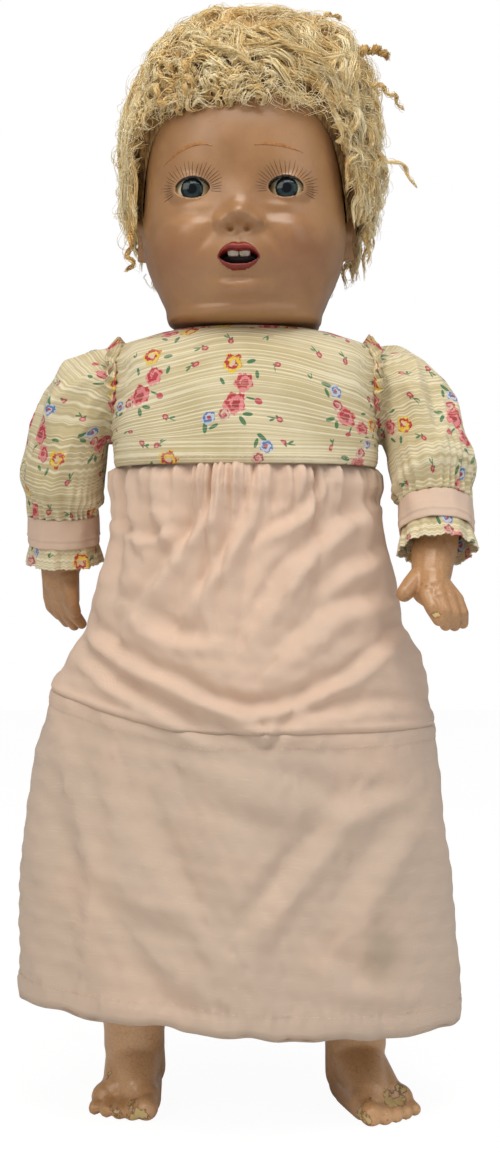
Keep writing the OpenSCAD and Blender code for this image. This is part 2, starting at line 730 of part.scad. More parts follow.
module forearm(side) {
    color(skin_color) on_arm(side) union() {
        skin([for (f = [[wrist_z - 2, 9], [wrist_z + 6, 11.8], [wrist_z + 18, 13], [elbow_z - 6, 13.4],
                        [elbow_z - 0.2, 13], [elbow_z, 9], [elbow_z + 8, 9]])
            level(f[0], f[1], f[1], x = wrist_out, sides = 16)]);
        translate([wrist_out, 0, wrist_z]) rotate([-hand_bend[side], 0, 0]) rotate([0, 0, hand_turn[side]]) hand();
    }
}

// ---- Sleeves ----

// Inner and outer edge of the sleeve from the armhole to the cuff, and its half depth:
// across from the armhole, below the hinge, the same for the outer edge
armhole_x = 76;
sleeve_form = [[0, -30, 0, 30, 30], [6.8, -30.2, 6.8, 30.2, 30.2], [7.2, -35, 20, 28, 33], [7.4, -41, 34, 20, 34.5],
               [7.6, -48, 45, 6, 34.5], [8.2, -55, 52, -14, 34], [9.4, -61, 57, -34, 32.5], [11, -66, 60.5, -51, 30],
               [14.6, -72, 56.6, -72, 21.4]];

function sleeve_ring(f, t) =
    let (k = (armhole_r - sleeve_gap) / 30.4, low = f == sleeve_form[0] || f == sleeve_form[1],
         end = f[1] <= -72 ? 1 : 0,
         cx = wrist_out - 35.5 - armhole_x,
         xi = end == 1 ? wrist_out - cuff_r : armhole_x + f[0],
         xo = end == 1 ? wrist_out + cuff_r : armhole_x + f[2] + (low ? 0 : cx),
         zs = (shoulder_z - band_top) / 72)
    hoop(xi + t * (low ? 0 : 1), shoulder_z + f[1] * (low ? k : zs) + (low ? t : 0), xo - t,
         shoulder_z + f[3] * (low ? k : zs) - (f[3] > 0 ? t : 0), (end == 1 ? cuff_r : f[4] * k) - t);

band_top = wrist_z + frill_h + band_h + 6;
module sleeve(side) {
    outer = [for (k = [len(sleeve_form) - 1 : -1 : 0]) sleeve_ring(sleeve_form[k], 0)];
    inner = [for (f = sleeve_form) sleeve_ring(f, cloth * 0.7)];
    color(print_color) on_arm(side) skin(concat(outer, inner), loop = true);
}

function cuff_level(z, r) = level(z, r, r, x = wrist_out, sides = 24);

module cuff_band(side) {
    top = band_top - 0.05;
    low = band_top - band_h;
    color(pink_color) on_arm(side) skin([cuff_level(low, cuff_r), cuff_level(low + band_h / 2, cuff_r + 0.6),
        cuff_level(top, cuff_r), cuff_level(top, cuff_r - cloth), cuff_level(low, cuff_r - cloth)], loop = true);
}

function frill_level(z, r, wave) =
    [for (i = [0 : 23]) let (a = 360 * i / 24, q = r + wave * sin(6 * a))
        [wrist_out + q * cos(a), q * sin(a), z]];

module cuff_frill(side) {
    top = band_top - band_h - 0.05;
    low = top - frill_h;
    color(print_color) on_arm(side) skin([frill_level(low, cuff_r, 1.1), frill_level(low + frill_h / 2, cuff_r, 0.6),
        frill_level(top, cuff_r - 0.3, 0), frill_level(top, cuff_r - cloth, 0),
        frill_level(low + frill_h / 2, cuff_r - cloth, 0.6), frill_level(low, cuff_r - cloth, 1.1)], loop = true);
}

// ---- Legs, drawn on the left side ----

leg_start = hip_half + limb_gap;
// Cloth thigh, from the knee up: share of the way, half width, half depth, squareness
thigh_form = [[0, 0.86, 0.9, 2], [0.1, 0.93, 0.98, 2], [0.35, 1, 1.06, 2.1], [0.62, 1, 1.06, 2.2],
              [0.86, 1, 1.02, 2.3], [1, 1, 0.98, 2.4], [1.1, 0.92, 0.84, 2.4], [1.17, 0.76, 0.64, 2.3],
              [1.2, 0.5, 0.4, 2.2]];

module thigh(side) {
    rise = hip_height - shin_h - 3;
    color(muslin_color) on_leg(side) difference() {
        skin([for (f = thigh_form)
            [for (p = level(shin_h + 3 + rise * f[0], thigh_r * f[1], thigh_r * f[2], x = leg_out + 2, n = f[3],
                            sides = 24)) [max(p[0], leg_start), p[1], p[2]]]]);
        translate([0, 0, hip_height]) bar_x(hip_outer - 0.1, hip_outer + disc_t + 2.4, hip_disc_r * 1.06, 12);
        translate([0, 0, hip_height]) bar_x(leg_start - 1, hip_outer + 1, pin_r + 0.7, 12);
        translate([leg_out, 0, shin_h]) cylinder(r = 13.2 / cos(15), h = 12.2, $fn = 12);
    }
}

module leg_disc(side) {
    color(fibre_color) on_leg(side) translate([0, 0, hip_height]) disc(hip_outer, hip_disc_r);
}

module leg_tie(side) {
    color(metal_color) on_leg(side) translate([leg_out, 0, shin_h + 0.6 + 1])
        rotate_extrude($fn = 48) translate([17, 0]) circle(r = 0.6, $fn = 16);
}

toe_r = [7.4, 5.6, 5, 4.6, 4.2];
module lower_leg(side) {
    heel = heel_back[side];
    color(skin_color) on_leg(side) union() {
        // Height, half width, half depth and middle, from the ankle to the neck that the thigh is tied to
        skin([for (f = [[30, ankle_r - 1, ankle_r, 4], [48, ankle_r, ankle_r, 2], [66, ankle_r + 0.5, ankle_r + 1, 1],
                        [90, ankle_r + 3, ankle_r + 4, 2], [shin_h - 36, ankle_r + 4, ankle_r + 5, 2],
                        [shin_h - 16, ankle_r + 2.5, ankle_r + 3, 0], [shin_h, ankle_r - 0.5, ankle_r, 0],
                        [shin_h, 13, 13, 0], [shin_h + 12, 13, 13, 0]])
            level(f[0], f[1], f[2], x = leg_out, y = f[3], sides = 20)]);
        intersection() {
            translate([leg_out, 0, 0]) rotate([0, 0, foot_out[side]]) foot(heel);
            translate([0, -150, 0]) cube([200, 300, 60]);
        }
    }
}

// A foot with its big toe to -X and its toes to -Y
module foot(heel) {
    front = heel - foot_len;
    half = foot_w / 2;
    hull() {
        translate([0, heel - 17, 17]) sphere(r = 17, $fn = 10);
        translate([0, heel - 22, 6]) scale([1, 1, 0.5]) sphere(r = 17, $fn = 10);
        translate([0, 2, 30]) sphere(r = ankle_r - 1.5, $fn = 10);
    }
    hull() {
        translate([0, 0, 24]) sphere(r = ankle_r - 2, $fn = 10);
        translate([0, heel - 17, 5]) sphere(r = 14, $fn = 10);
        translate([-half + 11, front + 20, 8]) sphere(r = 10.5, $fn = 8);
        translate([half - 9, front + 24, 6]) sphere(r = 9, $fn = 8);
    }
    // The ball of the foot, which the toes grow from
    hull() {
        translate([-half + 10.5, front + 19, 8]) sphere(r = 9.5, $fn = 8);
        translate([half - 9, front + 24, 6.5]) sphere(r = 8.5, $fn = 8);
    }
    for (k = [0 : 4]) {
        x = -half + 7.5 + k * (foot_w - 12.5) / 4;
        hull() {
            translate([x, front + 20 + k * 0.8, 6]) sphere(r = toe_r[k], $fn = 7);
            translate([x - 0.5, front + toe_r[k] + k * k * 0.55, toe_r[k] - 0.5]) sphere(r = toe_r[k], $fn = 7);
        }
    }
}

// ---- Dress ----

bodice_form = [[0, 0.965, 1], [0.3, 0.985, 0.98], [0.56, 1, 0.94], [0.78, 0.995, 0.87], [0.92, 0.9, 0.76],
               [1, 0.66, 0.655]];

function bodice_ring(f, t) =
    level(yoke_z + (collar_z - 1 - yoke_z) * f[0] - (f[0] > 0.9 ? t : 0),
          bodice_half * f[1] - t, bodice_deep * f[2] - t, n = 2.9 - 0.7 * f[0] * f[0], sides = 28);

module bodice() {
    outer = concat([for (f = bodice_form) bodice_ring(f, 0)], [level(collar_z - 0.8, 47.5, 38.7, sides = 28)]);
    inner = concat([level(collar_z - 0.8 - cloth, 47.5, 38.7, sides = 28)],
                   [for (k = [len(bodice_form) - 1 : -1 : 0]) bodice_ring(bodice_form[k], cloth)]);
    difference() {
        resize([2 * bodice_half, 0, 0]) difference() {
            skin(concat(outer, inner), loop = true);
            translate([0, 0, shoulder_z]) bar_x(-100, 100, armhole_r, 30);
        }
        children();
    }
}

module bodice_front() {
    color(print_color) bodice() translate([-150, 0, 0]) cube([300, 200, 900]);
}

module bodice_back() {
    color(print_color) bodice() translate([-150, -200, 0]) cube([300, 200, 900]);
}

function back_at(z) = bodice_deep * along(bodice_form, (z - yoke_z) / (collar_z - 1 - yoke_z), 2);

module back_buttons() {
    color("#e9e1cf") for (k = [0 : 2]) {
        z = yoke_z + 12 + k * 22;
        lean = atan2(back_at(z - button_r) - back_at(z + button_r), 2 * button_r);
        translate([0, back_at(z) + 0.2, z]) rotate([lean - 90, 0, 0]) difference() {
            cylinder(r = button_r, h = 2, $fn = 32);
            for (s = [-1, 1]) translate([s * 1.4, 0, -1]) cylinder(r = 0.7, h = 4, $fn = 16);
        }
    }
}

// Skirt from the yoke seam down: height above the soles, half width as a share of the
// widest, half depth likewise, middle across
skirt_form = [[58, 0.995, 1, -3.3], [90, 1, 0.985, -4], [150, 0.972, 0.95, -6.4], [211, 0.92, 0.9, -5.5],
              [250, 0.862, 0.86, -3], [271, 0.8, 0.835, 0], [285, 0.728, 0.815, 0], [300, 0.712, 0.795, 0],
              [314, 0.69, 0.775, 0], [332, 0.645, 0.75, 0], [350, 0.62, 0.725, 0], [367, 0.598, 0.7, 0],
              [387, 0.596, 0.68, 0]];
skirt_sides = 48;
tuck_rise = 0.52;

// Height of the growth tuck round the skirt: high at the right side, low in front
function tuck_z(a) = hip_height - 27 + 24 * pow(max(0, -sin(a + 12)), 1.6) + (cos(a) > 0 ? 0 : 6);
function hem_z(a) = hem_height - hem_tilt / 2 * sin(a) + 3;

function skirt_radius(a, z, t) =
    let (w = skirt_half * along(skirt_form, z, 1) - t, d = skirt_deep * along(skirt_form, z, 2) - t)
    pow(pow(abs(sin(a)) / w, 2.15) + pow(abs(cos(a)) / d, 2.15), -1 / 2.15);

// Lowest line of the drag fold, which runs up to the hips at both sides
function drag_z(a) = hip_height - 14 + 50 * pow(sin(a), 2) + (cos(a) > 0 ? 0 : 6);

// One ring of the skirt: v runs from 0 at the hem to 1 at the tuck, 1.25 at the drag fold
// and 2 at the yoke seam
function skirt_ring(v, t, out) =
    [for (i = [0 : skirt_sides - 1])
        let (a = 360 * i / skirt_sides,
             z = v < 1 ? hem_z(a) + (tuck_z(a) - hem_z(a)) * v
               : v < 1.25 ? tuck_z(a) + (drag_z(a) - tuck_z(a)) * (v - 1) / 0.25
               : drag_z(a) + (yoke_z - drag_z(a)) * (v - 1.25) / 0.75,
             near = pow(max(0, (z - 250) / (yoke_z - 250)), 1.5),
             fold = -gather_depth * near * (0.5 + 0.5 * cos(gathers * a + 30 * sin(2 * a))),
             drag = -drag_depth * exp(-pow((v - 1.25) / 0.045, 2)) * min(1, max(0, 1.6 * cos(a))),
             drape = -drape_depth * (0.5 - 0.5 * sin(5 * a + 52 + 0.23 * z)) * min(1, max(0, 1.15 - v) * 3),
             r = skirt_radius(a, z, t) + fold + drag + drape + out - 0.8)
        [r * sin(a) + along(skirt_form, z, 3), -r * cos(a), z]];

module skirt() {
    below = [0, 0.03, 0.2, 0.4, 0.6, 0.8, 0.97];
    above = [1, 1.1, 1.2, 1.25, 1.3, 1.42, 1.56, 1.7, 1.85, 2];
    outer = concat([for (v = below) skirt_ring(v, 0, v < 0.1 ? 0.4 : 0)],
                   [for (v = above) skirt_ring(v, 0, v < 1.2 ? tuck_depth : 0)]);
    inner = concat([for (v = [2, 1.56, 1.3, 1.25, 1.2]) skirt_ring(v, cloth, 0)],
                   [for (v = [0.97, 0.5, 0]) skirt_ring(v, cloth, 0)]);
    color(pink_color) skin(concat(outer, inner), loop = true);
}

head_shell();
crown_pate();
wig();
mouth_lining();
teeth();
eye_bracket();
eye_stop_pad();
neck_button();
neck_hook();
neck_spring();
neck_washer();
eye_rod();
eye_yoke();
eye_weight();
shoulder_plate();
torso_body();
voice_can();
voice_grille();
voice_reed();
voice_bellows();
voice_weight();
body_shoulder_discs();
body_hip_discs();
shoulder_pins();
hip_pins();
bodice_front();
bodice_back();
back_buttons();
skirt();
eyeball(RIGHT);  // eyeball_right
eyeball(LEFT);  // eyeball_left
iris(RIGHT);  // iris_right
iris(LEFT);  // iris_left
upper_arm(RIGHT);  // upper_arm_right
upper_arm(LEFT);  // upper_arm_left
arm_disc(RIGHT);  // arm_disc_right
arm_disc(LEFT);  // arm_disc_left
arm_tie(RIGHT);  // arm_tie_right
arm_tie(LEFT);  // arm_tie_left
forearm(RIGHT);  // forearm_right
forearm(LEFT);  // forearm_left
sleeve(RIGHT);  // sleeve_right
sleeve(LEFT);  // sleeve_left
cuff_band(RIGHT);  // cuff_band_right
cuff_band(LEFT);  // cuff_band_left
cuff_frill(RIGHT);  // cuff_frill_right
cuff_frill(LEFT);  // cuff_frill_left
thigh(RIGHT);  // thigh_right
thigh(LEFT);  // thigh_left
leg_disc(RIGHT);  // leg_disc_right
leg_disc(LEFT);  // leg_disc_left
leg_tie(RIGHT);  // leg_tie_right
leg_tie(LEFT);  // leg_tie_left
lower_leg(RIGHT);  // lower_leg_right
lower_leg(LEFT);  // lower_leg_left
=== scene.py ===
import json
import math

import bmesh
import bpy
import numpy as np
from mathutils import Matrix, Vector
from mathutils.bvhtree import BVHTree


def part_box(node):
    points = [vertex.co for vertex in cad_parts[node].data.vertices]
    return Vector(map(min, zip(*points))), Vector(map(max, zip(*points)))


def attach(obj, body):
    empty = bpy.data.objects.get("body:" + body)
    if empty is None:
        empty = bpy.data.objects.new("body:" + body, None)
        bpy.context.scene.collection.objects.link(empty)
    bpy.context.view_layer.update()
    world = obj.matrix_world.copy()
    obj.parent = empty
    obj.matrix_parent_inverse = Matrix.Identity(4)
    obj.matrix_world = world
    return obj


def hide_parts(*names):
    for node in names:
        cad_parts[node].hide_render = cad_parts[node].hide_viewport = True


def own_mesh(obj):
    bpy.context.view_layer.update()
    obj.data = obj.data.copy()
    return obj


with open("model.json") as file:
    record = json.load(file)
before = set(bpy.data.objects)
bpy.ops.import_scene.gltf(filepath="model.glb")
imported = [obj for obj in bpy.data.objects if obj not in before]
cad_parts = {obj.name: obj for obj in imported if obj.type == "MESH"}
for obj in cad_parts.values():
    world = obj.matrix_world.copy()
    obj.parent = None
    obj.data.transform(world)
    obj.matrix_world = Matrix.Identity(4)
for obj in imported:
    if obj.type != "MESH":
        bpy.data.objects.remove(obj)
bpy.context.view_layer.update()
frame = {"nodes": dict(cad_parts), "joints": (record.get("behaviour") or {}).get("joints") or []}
joint = {j["name"]: j for j in frame["joints"]}

# ---- Camera, lamps and paper floor -------------------------------------------------------
# The doll stands on white paper, lit softly from both sides and from above. The camera is
# level with its hands and looks straight at it.
scene = bpy.context.scene
scene.view_settings.view_transform = "Standard"


def tint(code, alpha=1.0):
    """A colour written as sRGB hex, in the linear numbers that a shader takes."""
    parts = [int(code[i:i + 2], 16) / 255 for i in (1, 3, 5)]
    return tuple(c / 12.92 if c <= 0.04045 else ((c + 0.055) / 1.055) ** 2.4 for c in parts) + (alpha,)


def plug(tree, socket, value):
    """Gives an input a value, or another node's output."""
    if isinstance(value, bpy.types.NodeSocket):
        tree.links.new(value, socket)
    else:
        socket.default_value = value


def add(tree, kind, sockets=None, **settings):
    """A new node. sockets maps an input to a value or to another node's output."""
    made = tree.nodes.new(kind)
    for key, value in settings.items():
        setattr(made, key, value)
    for key, value in (sockets or {}).items():
        plug(tree, made.inputs[key], value)
    return made


def maths(tree, how, *values):
    """What one sum of values or outputs gives."""
    return add(tree, "ShaderNodeMath", dict(enumerate(values)), operation=how).outputs[0]


view = bpy.data.cameras.new("camera")
view.lens = 53.3
camera = bpy.data.objects.new("camera", view)
camera.location = (0.003, -1.03, 0.316)
camera.rotation_euler = (math.radians(90), 0, 0)
scene.collection.objects.link(camera)
scene.camera = camera

# name, place, size, watts, colour
for name, place, size, watts, warmth in [("window_left", (-0.95, -1.15, 1.25), 0.9, 7.6, "#fff7ec"),
        ("window_right", (1.15, -0.9, 0.85), 1.0, 3.0, "#f4f8ff"),
        ("overhead", (0.08, -0.62, 1.62), 0.95, 13.5, "#fffaf2")]:
    lamp = bpy.data.lights.new(name, "AREA")
    lamp.size, lamp.energy, lamp.color = size, watts, tint(warmth)[:3]
    lamp_object = bpy.data.objects.new(name, lamp)
    lamp_object.location = place
    lamp_object.rotation_euler = (Vector((0, 0, 0.33)) - Vector(place)).to_track_quat("-Z", "Y").to_euler()
    scene.collection.objects.link(lamp_object)

world = bpy.data.worlds.new("studio")
scene.world = world
world.use_nodes = True
tree = world.node_tree
tree.nodes.clear()
seen = add(tree, "ShaderNodeLightPath")
direct = maths(tree, "MAXIMUM", seen.outputs["Is Camera Ray"], seen.outputs["Is Transmission Ray"])
dim = add(tree, "ShaderNodeBackground", {"Color": (1, 1, 1, 1), "Strength": 0.30})
bright = add(tree, "ShaderNodeBackground", {"Color": (1, 1, 1, 1), "Strength": 1.0})
mixed = add(tree, "ShaderNodeMixShader", {0: direct, 1: dim.outputs[0], 2: bright.outputs[0]})
add(tree, "ShaderNodeOutputWorld", {0: mixed.outputs[0]})

paper = bpy.data.materials.new("white_paper")
paper.use_nodes = True
tree = paper.node_tree
tree.nodes.clear()
seen = add(tree, "ShaderNodeLightPath")
matt = add(tree, "ShaderNodeBsdfDiffuse", {"Color": tint("#f4f4f2")})
glow = add(tree, "ShaderNodeEmission", {"Color": (1, 1, 1, 1), "Strength": 1.06})
shown = maths(tree, "MULTIPLY", seen.outputs["Is Camera Ray"], 0.9)
mixed = add(tree, "ShaderNodeMixShader", {0: shown, 1: matt.outputs[0], 2: glow.outputs[0]})
add(tree, "ShaderNodeOutputMaterial", {0: mixed.outputs[0]})
mesh = bpy.data.meshes.new("paper_floor")
mesh.from_pydata([(-3, -3, 0), (3, -3, 0), (3, 3, 0), (-3, 3, 0)], [], [(0, 1, 2, 3)])
floor = bpy.data.objects.new("paper_floor", mesh)
floor.data.materials.append(paper)
scene.collection.objects.link(floor)

# ---- Head --------------------------------------------------------------------------------
# One hollow moulding of wood-pulp composition, sanded, sprayed tan and varnished: neck, jowls,
# lids, open lips and ears. The lips are brushed on, and the paint is dull, mottled and chipped.
turn = math.atan2(-joint["eyes_close"]["axis"][1], joint["eyes_close"]["axis"][0])
COLLAR, EYE_Z, EYE_X, EYE_Y, EYE_R = 461.5, 536.5, 27.0, -48.0, 12.5
HALF_W, FRONT, BACK, NECK_R = 59.0, 64.0, 70.0, 28.0
MOUTH_Z = 497.5


def ramp(x, low, high):
    """0 below low, 1 above high and a smooth rise between them."""
    t = np.clip((x - low) / (high - low), 0, 1)
    return t * t * (3 - 2 * t)


def hill(x, z, x0, z0, wide, up, down=None):
    """A round rise in the face, with its own width, and its height above and below its middle."""
    tall = np.where(z > z0, up, up if down is None else down)
    return np.exp(-((x - x0) / wide) ** 2 - ((z - z0) / tall) ** 2)


def plain_head(a, z):
    """Distance from the neck's axis to the head without its features, at an angle from the face."""
    h = np.clip(np.abs((z - EYE_Z) / np.where(z > EYE_Z, 91.0, 96.0)), 0, 0.9999)
    wide = (1 - h ** 2.6) ** (1 / 2.6)
    jowl = 1 + 0.055 * np.exp(-((z - EYE_Z + 32) / 27) ** 2)
    deep = np.where(np.cos(a) > 0, FRONT, BACK)
    return wide * ((np.abs(np.sin(a)) / (HALF_W * jowl)) ** 2.6 + (np.abs(np.cos(a)) / deep) ** 2.6) ** (-1
        / 2.6)


def put(name, points, faces, smooth=True, turned=0.0, edges=()):
    """A mesh object from points in mm, turned about the neck's axis if it belongs to the head."""
    c, s = math.cos(-turned), math.sin(-turned)
    p = np.asarray(points, float)
    p = np.stack([p[:, 0] * c - p[:, 1] * s, p[:, 0] * s + p[:, 1] * c, p[:, 2]], 1) / 1000
    mesh = bpy.data.meshes.new(name)
    mesh.from_pydata(p.tolist(), edges, faces)
    mesh.update()
    if smooth:
        mesh.shade_smooth()
    made = bpy.data.objects.new(name, mesh)
    scene.collection.objects.link(made)
    return made


def net(rows, columns, close_columns=True, flip=False):
    """Faces of a grid of points, row by row."""
    out = []
    for j in range(rows - 1):
        for i in range(columns if close_columns else columns - 1):
            k = (i + 1) % columns
            f = (j * columns + i, j * columns + k, (j + 1) * columns + k, (j + 1) * columns + i)
            out.append(f[::-1] if flip else f)
    return out


def capped(rows, columns):
    """Faces of a grid of rings that is closed by two poles, whose points follow the grid's own."""
    base = rows * columns
    faces = net(rows, columns)
    for i in range(columns):
        k = (i + 1) % columns
        faces += [(base, k, i), (base + 1, base - columns + i, base - columns + k)]
    return faces


def mark(made, label, values):
    """A value for each point of a piece, which its material reads by name."""
    layer = made.data.attributes.new(label, "FLOAT", "POINT")
    layer.data.foreach_set("value", np.asarray(values, np.float32).reshape(-1))


def mouth_edges(x):
    """Heights at x of the upper lip's top, the opening's top and bottom, and the lower lip's bottom."""
    t = np.clip(np.abs(x) / 11.2, 0, 1)
    corner = MOUTH_Z - 0.8
    bow = 0.5 * np.exp(-((np.abs(x) - 3.8) / 2.4) ** 2) - 0.5 * np.exp(-(x / 1.8) ** 2)
    top = corner + (7.9 + 0.7 * bow) * (1 - t ** 2.4) ** 0.7
    s = np.clip(np.abs(x) / 10.4, 0, 1)
    upper = corner + 4.2 * (1 - s ** 3.2) ** 0.75 - 0.5 * np.exp(-(x / 2.2) ** 2)
    lower = corner - 4.1 * (1 - s ** 2.4) ** 0.75
    low = corner - 7.8 * (1 - t ** 2.3) ** 0.75
    return top, upper, lower, low


def lid_edges(x):
    """Heights of the opening between the lids above and below the middle of the eye."""
    t = np.clip(np.abs(x) / 10.3, 0, 1)
    return 6.3 * (1 - t ** 2.3) ** 0.62, -5.4 * (1 - t ** 2.6) ** 0.7


def head_points(a, z, spread):
    """Points of the head for angles and heights, and how much paint of each kind they carry."""
    plain = NECK_R + (plain_head(a, z) - NECK_R) * spread
    plain = plain - np.interp(z, [462, 468, 476, 485, 500, 520],
        [0, 3.6, 5.4, 5.2, 2.8, 0]) * np.abs(np.sin(a)) ** 1.5 * spread
    plain = np.where(z < COLLAR + 1.15, NECK_R - 4 * ramp(COLLAR - 3 - z, 0, 10), plain)
    front = (np.cos(a) > 0) * spread
    x = plain * np.sin(a)
    out = 4.0 * hill(x, z, 0, 573, 36, 28) - 2.2 * (hill(x, z, 27, 538, 13, 8) + hill(x, z, -27, 538, 13, 8))
    for s in (-1, 1):
        out += 6.6 * hill(x, z, s * 31, 502, 18, 15, 19) + 3.0 * hill(x, z, s * 27, 515, 13, 5, 9)
        out -= 1.1 * hill(x * 0.8 + s * (z - 506) * 0.5, z, s * 15, 505, 3.2, 9)
    out += 5.6 * hill(x, z, 0, 498, 16, 12, 13) + 6.0 * hill(x, z, 0, 478.5, 13, 7.5, 8)
    out += 2.6 * hill(x, z, 0, 468.5, 44, 3.6, 4.5) - 1.6 * hill(x, z, 0, 473.2, 30, 2.2)
    out = out * front
    r = plain + out
    px, py = r * np.sin(a), -r * np.cos(a)
    # What stands forward: nose, lips and lids
    ahead = 3.0 * hill(x, z, 0, 530, 9.0, 10, 8) + 9.2 * hill(x, z, 0, 520.4, 8.6, 6.4, 5.4)
    for s in (-1, 1):
        ahead += 4.4 * hill(x, z, s * 9.8, 516.0, 4.8, 4.8, 3.4)
        ahead -= 1.0 * hill(x, z, s * 14.6, 515.5, 2.0, 4.5)
        ahead -= 3.4 * hill(x, z, s * 4.7, 512.6, 1.7, 1.25)
        ahead += 1.1 * hill(x, z, s * 27, 526.0, 11, 2.6, 4)
    ahead -= 0.9 * hill(x, z, 0, 508.6, 2.0, 3.2) + 1.9 * hill(x, z, 0, 486.2, 11, 2.8)
    top, upper, lower, low = mouth_edges(x)
    in_width = ramp(11.6 - np.abs(x), 0, 0.8)
    lip_up = np.clip((z - upper) / np.maximum(top - upper, 0.1), -0.2, 1.2)
    lip_down = np.clip((lower - z) / np.maximum(lower - low, 0.1), -0.2, 1.2)
    puff = 1.9 * np.sqrt(np.clip(1 - (2 * lip_up - 0.9) ** 2, 0, 1)) * (lip_up > -0.05)
    puff += 2.1 * np.sqrt(np.clip(1 - (2 * lip_down - 0.9) ** 2, 0, 1)) * (lip_down > -0.05)
    ahead += puff * ramp(11.4 - np.abs(x), 0, 4)
    # The hollow of the open mouth, which is pushed back and also painted near black as painted shade.
    mouth_hollow_shade = ramp(upper - z, 0, 0.9) * ramp(z - lower, 0, 0.9) * ramp(10.6 - np.abs(x), 0, 1.0)
    ahead -= 11.5 * mouth_hollow_shade
    lips = in_width * np.maximum(ramp(top - z, -0.35, 0.35) * ramp(z - upper, -1.6, -1.0),
        ramp(z - low, -0.35, 0.35) * ramp(lower - z, -1.6, -1.0))
    py = py - ahead * front
    lined = np.zeros_like(x)
    for s in (-1, 1):
        ex, ez = x - s * EYE_X, z - EYE_Z
        flat = np.clip((EYE_R + 2.7) ** 2 - ex ** 2 - ez ** 2, 0, None)
        lid_y = EYE_Y - np.sqrt(flat)
        near = (ex ** 2 + ez ** 2 < (EYE_R + 2.7) ** 2) & (front > 0.5)
        rise = py - lid_y
        soft = 1.2
        py = np.where(near, py - soft * np.log1p(np.exp(np.clip(rise / soft, -20, 20))), py)
        high, down = lid_edges(ex)
        inside = ramp(high - ez, 0, 0.8) * ramp(ez - down, 0, 0.8) * ramp(10.5 - np.abs(ex), 0, 0.7)
        rim = ramp(high + 1.1 - ez, 0, 0.8) * ramp(ez - down, -0.7, 0.1) * ramp(11.3 - np.abs(ex), 0, 0.9)
        ball = EYE_Y - np.sqrt(np.clip((EYE_R - 2.2) ** 2 - ex ** 2 - ez ** 2, 0, None))
        inside = inside * (front > 0.5)
        py = py * (1 - inside) + ball * inside
        py = py - 0.35 * (rim - inside) * (front > 0.5)
        # The dark rim round each eye opening is partly a painted lid line and partly painted shade in the gap
        # round the eyeball.
        lined = np.maximum(lined, np.where(ez > down + 1.5, rim, 0.25 * rim) * (front > 0.5))
    blush = sum(hill(x, z, s * 33, 499, 15, 13) for s in (-1, 1)) + 0.5 * hill(x, z, 0, 477, 12, 7)
    return np.stack([px, py, z], -1), lips * front, mouth_hollow_shade * front, lined, np.clip(blush, 0, 1) * front


COLUMNS = 400
t = np.arange(COLUMNS) / COLUMNS * 2 * np.pi
angles = t - math.radians(33) * np.sin(t)
under = np.linspace(0, math.pi / 2, 10)
heights = np.concatenate([[449.0, 452, 455, 459, 462.6], 462.7 + 5 * (1 - np.cos(under)),
    np.arange(468.7, 482, 1.1), np.arange(482.4, 549, 0.78), np.arange(550, 600, 2.0),
    np.linspace(602, 611.4, 5)])
spreads = np.concatenate([np.zeros(5), np.sin(under), np.ones(len(heights) - 15)])
grid_a, grid_z = np.meshgrid(angles, heights)
points, lips, mouth_hollow_shade, lined, blush = head_points(grid_a, grid_z, spreads[:, None] * np.ones_like(grid_a))
points = np.vstack([points.reshape(-1, 3), [[0, 0, 449.0], [0, 0, 611.4]]])
faces = capped(len(heights), COLUMNS)
paints = [np.append(p.reshape(-1), [0, 0]) for p in (lips, mouth_hollow_shade, lined, blush)]


def ear(side):
    """One moulded ear: a rolled rim, an inner fold and a hollow, on a disc that leans on the head."""
    n, m = 14, 40
    pts = []
    for j in range(n):
        q = j / (n - 1)
        for i in range(m):
            b = 2 * math.pi * i / m
            tall = 15.0 if math.sin(b) > 0 else 13.0
            wide = 8.6 if math.sin(b) > 0 else 6.4
            u, v = q * wide * math.cos(b), q * tall * math.sin(b)
            rim = 2.6 * math.exp(-((q - 0.84) / 0.13) ** 2) * (0.35 + 0.65 * (math.cos(b + 0.6) < 0.75))
            fold = 1.5 * math.exp(-((q - 0.5) / 0.12) ** 2) * max(0, math.sin(b + 0.9))
            hollow = -1.5 * math.exp(-((u + 1.5) / 3.4) ** 2 - ((v + 2) / 4.5) ** 2)
            edge = -6.5 * max(0, q - 0.93) / 0.07
            pts.append((side * (60.2 + 3.4 + rim + fold + hollow + edge + 0.16 * u), 7.5 + u,
                519.5 + v - 0.12 * u))
    return np.array(pts), net(n, m, flip=side < 0)


for side in (-1, 1):
    ear_points, ear_faces = ear(side)
    base = len(points)
    points = np.vstack([points, ear_points])
    faces += [tuple(base + k for k in f) for f in ear_faces]
    paints = [np.append(p, np.zeros(len(ear_points))) for p in paints]
head = put("composition_head", points, faces, turned=turn)
for label, values in zip(("lips", "mouth_hollow_shade", "lined", "blush"), paints):
    mark(head, label, values)


def new_material(name):
    """A material, its tree, its shader and the piece's own coordinates."""
    made = bpy.data.materials.new(name)
    made.use_nodes = True
    tree = made.node_tree
    tree.nodes.clear()
    shader = add(tree, "ShaderNodeBsdfPrincipled")
    add(tree, "ShaderNodeOutputMaterial", {0: shader.outputs[0]})
    where = add(tree, "ShaderNodeTexCoord").outputs["Object"]
    return made, tree, shader, where


def mix(tree, share, below, above):
    """One colour over another; share is a value or another node's output."""
    made = tree.nodes.new("ShaderNodeMix")
    made.data_type = "RGBA"
    for key, value in ((0, share), (6, below), (7, above)):
        plug(tree, made.inputs[key], value)
    return made.outputs[2]


def painted(tree, label):
    """What mark() wrote on the piece."""
    return add(tree, "ShaderNodeAttribute", attribute_name=label).outputs["Fac"]


def between(tree, value, low, high, out_low=0.0, out_high=1.0):
    """A value moved from one range to another, and kept inside it."""
    return add(tree, "ShaderNodeMapRange", {"Value": value, "From Min": low, "From Max": high,
        "To Min": out_low, "To Max": out_high}, interpolation_type="SMOOTHSTEP").outputs[0]


